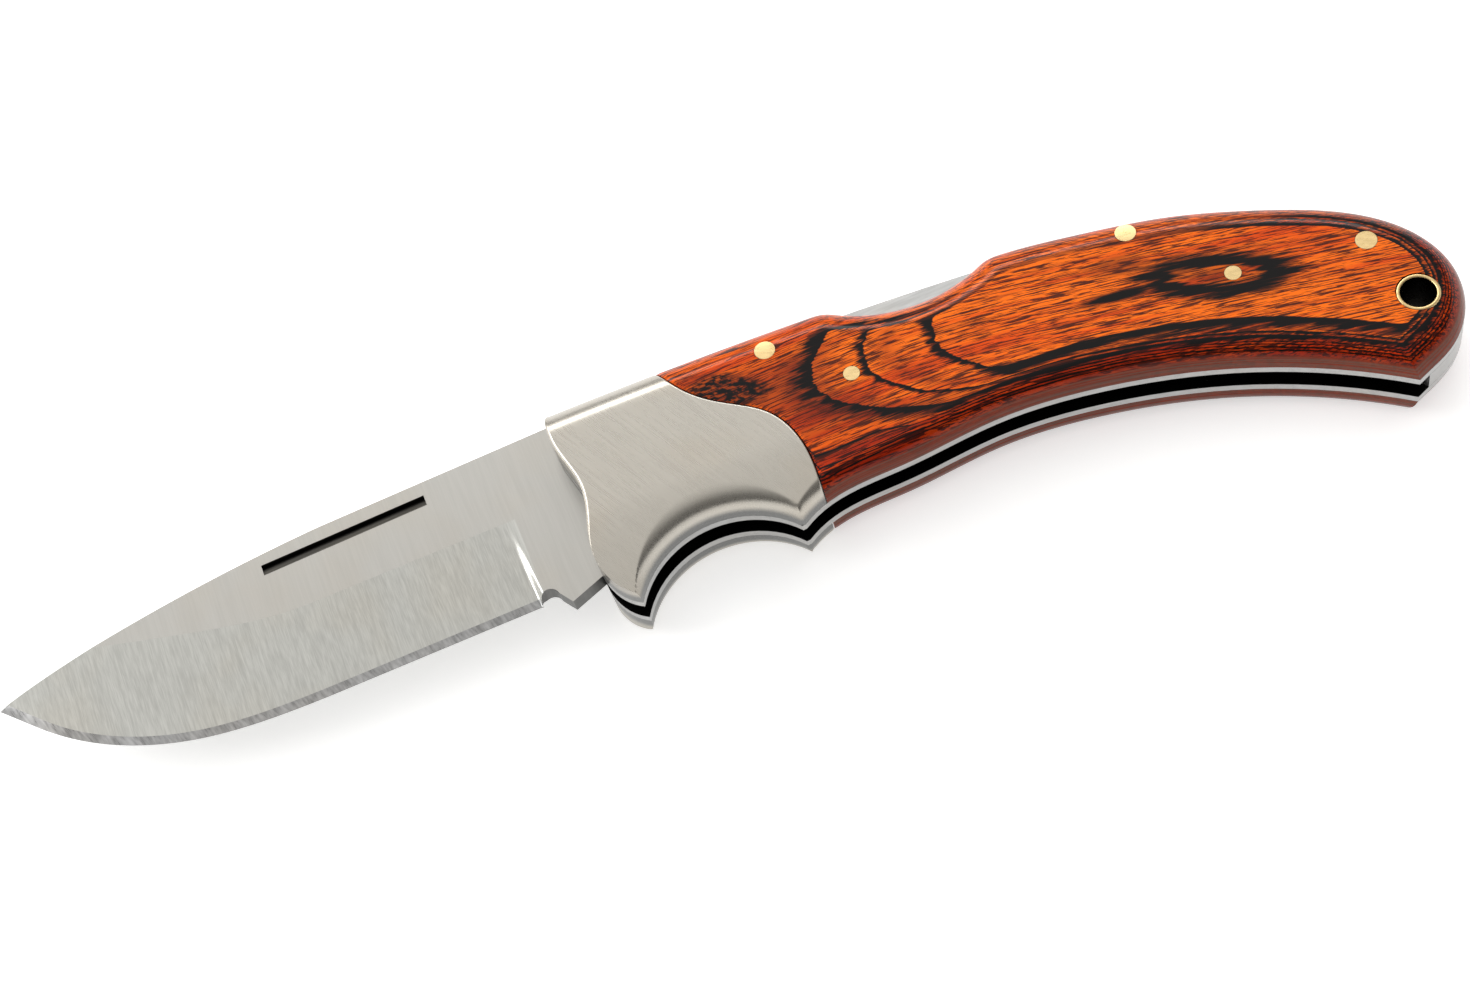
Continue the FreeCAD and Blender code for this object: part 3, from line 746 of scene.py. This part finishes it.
def inset(path, gap):
    """A path moved to its right-hand side."""
    along = np.gradient(path, axis=0)
    along /= np.linalg.norm(along, axis=1, keepdims=True)
    return path + gap * along[:, ::-1] * (1, -1)


INNER_BACK = inset(BACK, rim_inset)


def joint_line(shift):
    """Joint between bolster and scale from spine to belly, trimmed to the outline."""
    path = smooth_path(handle_places(joint_shares), steps=300) + (shift, 0)
    inside = np.linalg.norm(path - spine_centre, axis=1) < spine_radius - rim_inset
    return path[inside & (path[:, 1] > np.interp(path[:, 0], BELLY[:, 0], BELLY[:, 1]))]


def along_path(path, shares):
    """Places at shares of a path's length."""
    run = lengths(path)
    return np.stack([np.interp(np.asarray(shares) * run[-1], run, path[:, k]) for k in (0, 1)], -1)


def patch(first, last, low, high, u, v):
    """Flat grid between four border paths: the two rulings between facing borders added together, less the
    ruling between the four corners."""
    a, b = (along_path(path, v)[None] for path in (first, last))
    c, d = (along_path(path, u)[:, None] for path in (low, high))
    s, t = u[:, None, None], v[None, :, None]
    corners = ((1 - s) * ((1 - t) * a[:, :1] + t * a[:, -1:]) + s * ((1 - t) * b[:, :1] + t * b[:, -1:]))
    return (1 - t) * c + t * d + (1 - s) * a + s * b - corners


def distance_to(path, places):
    """Least distance from each place to a path of short straight steps, one row of the grid at a time."""
    start, step = path[:-1], np.diff(path, axis=0)
    square = (step ** 2).sum(1)

    def row_distance(row):
        """Distance from a place to the nearest point of each step, and the least of these."""
        gap = row[:, None] - start
        share = np.clip((gap * step).sum(2) / square, 0, 1)
        return np.sqrt(((gap - share[..., None] * step) ** 2).sum(2).min(1))

    return np.stack([row_distance(row) for row in places])


def crown_height(places):
    """Height of the crowned face over the middle: level over a band along the handle, then falling in two
    round shoulders. The band follows the spine's arc and then bends down to the butt round a hub."""
    bend = on_spine(bend_share * handle_length)
    across = unit(bend - spine_centre)
    hub = bend - across * (handle_height / 2 + crown_bend_radius)
    from_centre = np.linalg.norm(places - spine_centre, axis=-1) - spine_radius + handle_height / 2
    from_hub = np.linalg.norm(places - hub, axis=-1) - crown_bend_radius
    behind = (places - spine_centre) @ (across[::-1] * (1, -1)) > 0
    side = np.where(behind, from_hub, from_centre)
    reach = np.maximum(np.abs(side) - face_flat_width / 2, 0)
    radius = np.where(side > 0, spine_shoulder_radius, belly_shoulder_radius)
    return half_thickness - radius + np.sqrt(radius ** 2 - reach ** 2)


def rounded(distance, radius):
    """Height of a rim rounded by a quarter circle at a distance from the wall."""
    depth = radius - np.clip(distance, 0, radius)
    return half_thickness - radius + np.sqrt(radius ** 2 - depth ** 2)


def face_height(places):
    """Height of bolster or scale over the middle: the lowest of the crown and the rounded rims."""
    groove = np.linalg.norm(places - GROOVE_CENTRE, axis=-1) - groove_radius
    height = np.minimum(crown_height(places), rounded(groove, belly_round_radius))
    rims = ((BACK, spine_round_radius), (BELLY, belly_round_radius), (FRONT, front_round_radius))
    for path, radius in rims:
        height = np.minimum(height, rounded(distance_to(path, places), radius))
    return height


def half_handle(name, places, drills, soft_edge):
    """Left and right piece over one flat grid: the left one from the liner up to the face, the right one its
    mirror image, both drilled for what goes through them. The soft edge is a path whose edge is broken by a
    small radius."""
    path, edge_radius = soft_edge
    broken = half_thickness - rounded(distance_to(path, places), edge_radius)
    height = np.maximum(face_height(places) - broken, liner_outer + rim_step)
    upper = np.concatenate((places, middle + height[..., None]), -1)
    lower = np.concatenate((places, np.full_like(height, middle + liner_outer)[..., None]), -1)
    flip, shift = np.array((1, 1, -1)), np.array((0, 0, 2 * middle))
    made = []
    for side, top, bottom in (("left", upper, lower), ("right", lower * flip + shift, upper * flip + shift)):
        piece = sheet_piece(name + "_" + side, top, bottom)
        cut_out(piece, *(round_bar("drill", place, radius, -half_thickness, 3 * half_thickness)
                         for place, radius in drills))
        smooth_shaded(piece, handle_crease)
        made.append(piece)
    return made


def bolster_grid():
    """Flat grid of the bolster, from its front to the joint and from the groove to the spine. Its stations
    crowd together towards the front and just before the joint."""
    joint = joint_line(-joint_gap)
    spine = np.concatenate((INNER_BACK[INNER_BACK[:, 0] < joint[0, 0]], joint[:1]))
    front = np.concatenate((spine[:1], FRONT[1:]))
    groove = arc_run(GROOVE_CENTRE, FRONT[-1], handle_places(spur_share), 120)
    belly = BELLY[BELLY[:, 0] < joint[-1, 0]]
    low = np.concatenate((groove[:-1], belly, joint[-1:]))
    spur_at = lengths(groove)[-1] / lengths(low)[-1]
    to_spur = np.linspace(0, 1, 90, endpoint=False) ** 1.6
    to_joint = 1 - np.linspace(1, 0, 28) ** 2
    u = np.concatenate((spur_at * to_spur, spur_at + (1 - spur_at) * to_joint))
    return patch(front[::-1], joint[::-1], low, spine, u, end_crowded(110))


bolster_steel = brushed_metal("bolster_steel", (0.45, 0.425, 0.38), roughness=(0.26, 0.30),
                              fineness=(0.2, 6.0, 6.0), contrast=0.03, turn=bolster_brushing,
                              wall=(bolster_side_painted_shade, *bolster_side_shade_depths))
bolsters = half_handle("bolster_block", bolster_grid(), [((0, 0), pivot_radius + seam)],
                       (joint_line(-joint_gap), joint_round_radius))
for piece, side in zip(bolsters, ("left", "right")):
    dress(piece, bolster_steel)
    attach(piece, "handle")
    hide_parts("bolster_" + side)
dress(nodes["blade_pivot_pin"], bolster_steel)

# Scales: slabs of dyed birch veneers pressed with resin, shaped, sanded and polished with the bolsters. The
# crown and the rounded rims cut through the veneers, whose dark glue and growth lines follow the shape as
# contours. Pins and rivets hold them to the liners.
pin_gap = 0.05
through_scale = ("lock_bar_pin", "spacer_pin_front", "spacer_pin_rear", "scale_rivet_front_left",
                 "scale_rivet_rear_left", "lanyard_tube")
orange = (1.0, 0.172, 0.005)
amber = (0.62, 0.095, 0.005)
russet = (0.26, 0.030, 0.005)
umber = (0.060, 0.010, 0.004)
pitch = (0.004, 0.003, 0.003)
grey_brown = (0.20, 0.085, 0.055)
# Darker and redder down the belly's slope: partly the wood's redder tone, partly painted shade.
belly_red_and_shade = (0.88, 0.50, 0.5)
front_brown = (0.85, 0.72, 0.7)
growth_bands = ((0.0, orange), (1.5, orange), (2.2, amber), (2.9, orange), (3.6, orange), (4.4, amber),
                (5.4, russet), (6.1, amber), (7.0, orange), (8.0, amber), (9.2, orange), (10.5, amber),
                (13.0, amber))
band_reach = 13.0
face_line = (0.55, 1.0, 0.9)
front_lines = ((2.95, 0.7, 0.7), (4.70, 1.5, 1.5))
rim_lines = ((7.40, 0.35, 0.3), (8.60, 0.30, 0.3), (9.80, 0.40, 0.4), (11.2, 0.35, 0.3))
line_sharpness = 0.1
least_slope = 0.2
apex_x = 44.0
apex_slope = 0.25
apex_limit = 6.3
arch_rate = 0.1
brown_start = 5.2
grain_bend_x = 42.0
grain_bend_reach = 12.0
grain_slope = 0.25
grain_fineness = (0.10, 1.7, 0.6)
streak_fineness = (0.03, 0.6, 0.4)
pore_fineness = (0.20, 3.2, 2.0)
hair_fineness = (0.35, 6.5, 4.0)
swell_fineness = (0.06, 0.12, 0.12)
crackle_fineness = (0.8, 1.6, 1.0)
crackle_turn = math.radians(30)
spine_side = (3.0, 7.0)
spine_fade = (2.0, 5.0)
spine_fade_run = (40.0, 50.0)
lower_side = (4.0, -2.0)
belly_side = (-2.0, -6.0)
belly_depths = (0.0, 0.45)
rim_depths = (1.9, 2.4)
ripple_length = 1.3
ripple_run = (48.0, 66.0)
veneer = 0.28
eye_oval = ((77.6, -6.9), -24.0, (10.4, 3.5))
eye_heart = ((77.4, -6.8), -24.0, (5.4, 1.5))
eye_tail = ((65.2, -3.9), -11.0, (6.6, 1.1))
eye_haze = ((67.0, 0.4), -14.0, (5.0, 1.8))
joint_shadow = ((14.3, 7.0), -33.0, (6.6, 2.8))


def scale_grid():
    """Flat grid of the scale, from the joint to the butt and from the belly to the spine."""
    joint = joint_line(0)
    butt_split = int(np.argmin(np.linalg.norm(INNER_BACK - handle_places(butt_shares[4]), axis=1)))
    spine_start = int(np.argmax(INNER_BACK[:, 0] > joint[0, 0]))
    spine = np.concatenate((joint[:1], INNER_BACK[spine_start:butt_split + 1]))
    butt = INNER_BACK[butt_split:]
    belly = np.concatenate((joint[-1:], BELLY[BELLY[:, 0] > joint[-1, 0]][:-1], butt[-1:]))
    u = np.sin(np.linspace(0, math.pi / 2, 300))
    return patch(joint[::-1], butt[::-1], belly, spine, u, end_crowded(110))


def about_zero(noise, reach):
    """A noise of 0 to 1 moved to lie evenly about zero, times a reach."""
    return (noise - 0.5) * reach


def along_grain(x, y, z):
    """Coordinates along and across the grain, which runs level in front and falls by its slope behind a bend:
    y is raised by half the slope times the sum of the distance behind the bend and its rounded size."""
    behind = x - grain_bend_x
    size = calc("SQRT", behind * behind + grain_bend_reach ** 2)
    straightened = y + (behind + size) * (grain_slope / 2)
    return Shade(node(x.tree, "ShaderNodeCombineXYZ", {"X": x, "Y": straightened, "Z": z}).outputs[0])


def oval(place, figure, fray):
    """How far a place lies out from the middle of an oval in the plane, 1 on its rim, frayed by a noise."""
    centre, angle, size = figure
    inputs = {"Vector": place, "Location": (*centre, 0.0), "Rotation": (0.0, 0.0, math.radians(angle)),
              "Scale": (*size, 1 / MM)}
    local = node(place.tree, "ShaderNodeMapping", inputs, vector_type="TEXTURE")
    return vector_calc("LENGTH", Shade(local.outputs[0])) + (fray - 0.5)


def growth_line(band, slope, fray, line):
    """Share of a dark growth line that starts at a level of the band value. The slope of the band turns that
    into millimetres: the line is sharp on its inner side and frays out on the other one."""
    level, width, feather = line
    out = (band - level) / slope
    frayed = out + about_zero(fray, 4 * feather)
    sharp_side = remap(out, -line_sharpness, line_sharpness)
    return sharp_side * remap(frayed, width, width + feather, 1.0, 0.0)


def beside_axis(x, y):
    """Distance to the spine's side of the handle's axis, a parabola along the spine's arc at half height."""
    level = spine_height - handle_height / 2 - x * math.tan(spine_fall)
    return y - (level - x * x * (1 / (2 * spine_radius)))


def growth_front(x, aside):
    """Part of the band value that grows from an arched line towards the bolster, up to a limit."""
    ahead = calc("MAXIMUM", apex_x - x + aside * aside * arch_rate, 0.0)
    return calc("MINIMUM", ahead * apex_slope, apex_limit)


def growth_band(depth, front):
    """Band value and its slope for each millimetre: the root of the depth below the face, measured as the
    distance down the belly's shoulder, and of the front part, both squared and added."""
    down = depth * (2 * belly_shoulder_radius)
    ahead = front * front
    band = calc("SQRT", down + ahead)
    steepness = calc("SQRT", down + ahead * apex_slope ** 2)
    return band, calc("MAXIMUM", steepness / calc("MAXIMUM", band, least_slope), least_slope)


def band_colour(band):
    """Colour of the veneers from the table of growth bands."""
    ramp = node(band.tree, "ShaderNodeValToRGB", {"Fac": band / band_reach})
    stops = ramp.color_ramp.elements
    for stop, (level, colour) in zip((stops[0], stops[1]), (growth_bands[0], growth_bands[-1])):
        stop.position = level / band_reach
        stop.color = (*colour, 1.0)
    for level, colour in growth_bands[1:-1]:
        stops.new(level / band_reach).color = (*colour, 1.0)
    return Shade(ramp.outputs["Color"])


def wood_finish():
    """Dyed veneer: a band value that is zero on the level face and grows down the crown and towards the
    bolster runs through a table of colours. Pores and streaks are drawn out along the grain, which bends down
    behind the front third; an eye with a tail lies behind the middle, and the rims show veneer edges."""
    made, shader, place = finish_of("laminated_wood")
    x, y, z = parts(place)
    depth = calc("MAXIMUM", half_thickness - calc("ABSOLUTE", z - middle), 0.0)
    fibre = along_grain(x, y, z)
    grain = stretched(fibre, grain_fineness, 3.0)
    streaks = stretched(fibre, streak_fineness, 3.0)
    pores = stretched(fibre, pore_fineness)
    hairs = stretched(fibre, hair_fineness)
    swell = stretched(place, swell_fineness)
    fray = grain + about_zero(pores, 0.7)
    aside = beside_axis(x, y)
    front = growth_front(x, aside)
    band, slope = growth_band(depth, front)
    waver = about_zero(fray, 0.25) + about_zero(swell, 0.9)
    band = calc("MAXIMUM", band + waver, 0.0)

    colour = tint(remap(aside, *spine_side, 0.0, 0.8), band_colour(band), orange)
    colour = tint(remap(streaks, 0.42, 0.66, 0.0, 0.65), colour, amber, "MULTIPLY")
    colour = tint(remap(grain, 0.52, 0.70, 0.0, 0.6), colour, russet)
    wave = calc("SINE", (x + y) * (2 * math.pi / ripple_length) + grain * 7.0)
    rippled = remap(band, 1.0, 1.8) * remap(x, *ripple_run)
    colour = tint(remap(wave, -0.2, 0.9, 0.0, 0.6) * rippled, colour, russet)
    colour = tint(remap(pores, 0.535, 0.59, 0.0, 0.95), colour, umber)
    colour = tint(remap(hairs, 0.535, 0.59, 0.0, 0.9), colour, umber)
    # Belly slope: partly a redder tone of the wood, partly painted shade.
    red_and_shaded_belly = remap(aside, *belly_side) * remap(depth, *belly_depths)
    colour = tint(red_and_shaded_belly, colour, belly_red_and_shade, "MULTIPLY")
    colour = tint(remap(front, brown_start, apex_limit), colour, front_brown, "MULTIPLY")

    on_lower = remap(aside, *lower_side, 0.3, 1.0)
    behind_notch = remap(x, *spine_fade_run) * remap(aside, *spine_fade, 0.0, 0.9)
    lines = [(face_line, remap(aside, *spine_side, 1.0, 0.5))]
    lines += [(line, 1.0 - behind_notch) for line in front_lines]
    lines += [(line, on_lower) for line in rim_lines]
    for line, share in lines:
        colour = tint(growth_line(band, slope, fray, line) * share, colour, pitch)

    from_heart = oval(place, eye_heart, fray)
    eye = remap(from_heart, 0.75, 1.15) * remap(oval(place, eye_oval, fray), 0.85, 1.2, 1.0, 0.0)
    tail = remap(oval(place, eye_tail, fray), 0.45, 1.1, 1.0, 0.0)
    haze = remap(oval(place, eye_haze, fray), 0.2, 1.2, 0.6, 0.0)
    heart = remap(from_heart, 0.3, 1.3, 0.6, 0.0)
    cracks = remap(stretched(place, crackle_fineness, 3.0, crackle_turn), 0.46, 0.6, 1.0, 0.5)
    shadow = cracks * remap(oval(place, joint_shadow, fray), 0.6, 1.1, 1.0, 0.0)
    colour = tint(calc("MAXIMUM", haze, heart), colour, umber)
    colour = tint(shadow, colour, pitch)
    colour = tint(calc("MAXIMUM", eye, tail), colour, pitch)

    plies = stretched(place, (0.02, 0.02, 1 / veneer))
    side = tint(remap(plies, 0.4, 0.6), grey_brown, russet)
    rim = remap(depth, *rim_depths, 0.0, 0.85) * on_lower
    join(shader, {"Base Color": tint(rim, colour, side), "Roughness": remap(pores, 0.5, 0.75, 0.3, 0.42),
                  "Specular IOR Level": 0.05, "Coat Weight": 0.24, "Coat Roughness": 0.07})
    return made


def place_of(name):
    """Middle of a node in the plane, in millimetres."""
    low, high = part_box(name)
    return np.array(((low.x + high.x) / 2, (low.y + high.y) / 2)) / MM


laminated_wood = wood_finish()
scales = half_handle("wood_scale", scale_grid(),
                     [(place_of(name), radius_of(name) + pin_gap) for name in through_scale],
                     (joint_line(0), joint_gap))
for piece, side in zip(scales, ("left", "right")):
    dress(piece, laminated_wood)
    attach(piece, "handle")
    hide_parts("scale_" + side)

# Pins and rivets: drawn brass rod. The pins go through the whole handle and the short rivets hold each scale
# to its liner; all are headed over and polished flush with the wood.
brass = brushed_metal("brass", (0.74, 0.55, 0.27), roughness=(0.24, 0.34), fineness=(0.8, 2.2, 2.2),
                      contrast=0.06, turn=math.radians(20))
for name in nodes:
    if name.startswith(("lock_bar_pin", "spacer_pin", "scale_rivet")):
        dress(nodes[name], brass)

# Lanyard tube: thin drawn brass, pressed through the butt. Its lips are rounded and polished at both ends,
# and inside its bore the brass is painted near-black as shade.
tube_bore = 2.25
tube_lip = 0.26
tube_crease = math.radians(50)
# Painted shade: the near-black colour inside the bore.
bore_painted_shade = (0.018, 0.013, 0.008)
tube_low, tube_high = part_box("lanyard_tube")
tube_radius = radius_of("lanyard_tube")
tube_centre = place_of("lanyard_tube")


def turned_piece(name, centre, profile, closed):
    """A profile of radius and height turned round an upright axis. A closed one, anticlockwise, makes a ring;
    an open one makes a dish whose floor is one face inside the profile's last point."""
    angle = np.linspace(0, 2 * math.pi, round_steps, endpoint=False)[:, None]
    radius, height = profile.T
    x = centre[0] + radius * np.cos(angle)
    y = centre[1] + radius * np.sin(angle)
    points = np.stack(np.broadcast_arrays(x, y, height[None]), -1)
    number = np.arange(x.size).reshape(x.shape)
    after, above = np.roll(number, -1, 0), np.roll(number, -1, 1)
    quads = np.stack((number, after, np.roll(above, -1, 0), above), -1)
    faces = (quads if closed else quads[:, :-1]).reshape(-1, 4).tolist()
    return new_piece(name, points.reshape(-1, 3), faces if closed else faces + [number[:, -1].tolist()])


def tube_profile():
    """Outline of the tube's wall: up the outside, over a half-round lip, down the bore and under the other
    lip."""
    middle_radius = (tube_radius + tube_bore) / 2
    half_wall = (tube_radius - tube_bore) / 2
    turn = np.linspace(0, math.pi, 13)
    across, rise = half_wall * np.cos(turn), tube_lip * np.sin(turn)
    top = np.stack((middle_radius + across, tube_high.z / MM - tube_lip + rise), 1)
    bottom = np.stack((middle_radius - across, tube_low.z / MM + tube_lip - rise), 1)
    return np.concatenate((top, bottom))


def tube_finish():
    """The brass of the pins, going over to painted shade, near-black, in the bore below the lips."""
    made = brass.copy()
    made.name = "tube_brass"
    shader = made.node_tree.nodes["Principled BSDF"]
    from_centre = vector_calc("SUBTRACT", place_in_mm(made.node_tree), (*tube_centre, 0.0))
    radius = vector_calc("LENGTH", vector_calc("MULTIPLY", from_centre, (1.0, 1.0, 0.0)))
    bore = remap(radius, tube_bore, tube_bore + tube_lip / 4, 1.0, 0.0)
    shade = Shade(shader.inputs["Base Color"].links[0].from_socket)
    join(shader, {"Base Color": tint(bore, shade, bore_painted_shade)})
    return made


tube = turned_piece("lanyard_ring", tube_centre, tube_profile(), closed=True)
smooth_shaded(tube, tube_crease)
dress(tube, tube_finish())
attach(tube, "handle")
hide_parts("lanyard_tube")

# Studio: a round white table whose rim turns up into a low backdrop, under a wide sky that is brightest
# behind the knife. One softbox from behind skims the spine, and one from the side picks out the plunge and
# the front of the bolster.
floor_radius = 2200.0
backdrop_bend = 400.0
floor_drop = 0.02
table_white = (0.82, 0.82, 0.82, 1.0)
table_glow = 0.55
sky_white = (1.0, 0.99, 0.97, 1.0)
brightest = Vector((0.0, 0.45, 0.89)).normalized()


def table_profile():
    """Quarter circle from the top of the backdrop down to the rim of the flat table."""
    turn = np.linspace(math.pi / 2, 0, 13)
    return np.stack((floor_radius + backdrop_bend * np.sin(turn),
                     backdrop_bend * (1 - np.cos(turn)) - floor_drop), 1)


def floor_finish():
    """White table: a pale matt surface that also glows a little for the camera and for reflections."""
    made, shader, _ = finish_of("white_table")
    rays = node(made.node_tree, "ShaderNodeLightPath").outputs
    direct, glossy, through = (Shade(rays[f"Is {kind} Ray"]) for kind in ("Camera", "Glossy", "Transmission"))
    seen = calc("MAXIMUM", direct, calc("MAXIMUM", glossy, through))
    join(shader, {"Base Color": table_white, "Roughness": 0.9, "Specular IOR Level": 0.0,
                  "Emission Color": (1.0, 1.0, 1.0, 1.0), "Emission Strength": seen * table_glow})
    return made


floor = turned_piece("floor", (0, 0), table_profile(), closed=False)
dress(floor, floor_finish())

world = bpy.data.worlds.new("studio")
bpy.context.scene.world = world
world.use_nodes = True
direction = Shade(node(world.node_tree, "ShaderNodeTexCoord").outputs["Generated"])
toward = vector_calc("DOT_PRODUCT", direction, brightest)
glow = remap(toward, 0.1, 0.95, 0.25, 1.0) * remap(parts(direction)[2], 0.0, 0.55, 0.1, 1.0)
join(world.node_tree.nodes["Background"], {"Color": sky_white, "Strength": glow})


def softbox(name, place, target, size, power):
    """A rectangular lamp that faces a target."""
    lamp = bpy.data.lights.new(name, "AREA")
    lamp.shape = "RECTANGLE"
    lamp.size, lamp.size_y = size
    lamp.energy = power
    holder = bpy.data.objects.new(name, lamp)
    holder.location = place
    holder.rotation_euler = (Vector(target) - Vector(place)).to_track_quat("-Z", "Y").to_euler()
    bpy.context.scene.collection.objects.link(holder)


softbox("back_softbox", place=(0.1, 0.7, 0.5), target=(0.02, 0.0, 0.0), size=(1.0, 0.2), power=3.0)
softbox("side_softbox", place=(-0.75, 0.45, 0.45), target=(0.0, 0.0, 0.0), size=(0.8, 0.35), power=5.0)

# Camera: a short telephoto held above the belly side, tilted so that the knife runs up to the right. Its
# focal length is given in pixels of the photograph.
image_width = 1470
focal_pixels = 2487
film_width = 36.0
nearest_seen = 10.0 * MM
camera_place = Vector((-4.96, -174.97, 283.79)) * MM
forward = Vector((0.0451, 0.5264, -0.8490)).normalized()
upward = Vector((0.3998, 0.7693, 0.4982))
sideways = forward.cross(upward).normalized()
upward = sideways.cross(forward)
lens = bpy.data.cameras.new("camera")
lens.sensor_width = film_width
lens.lens = film_width * focal_pixels / image_width
lens.clip_start = nearest_seen
camera = bpy.data.objects.new("camera", lens)
turn = Matrix((sideways, upward, -forward)).transposed()
camera.matrix_world = Matrix.Translation(camera_place) @ turn.to_4x4()
bpy.context.scene.collection.objects.link(camera)
bpy.context.scene.camera = camera
bpy.context.scene.view_settings.view_transform = "Standard"
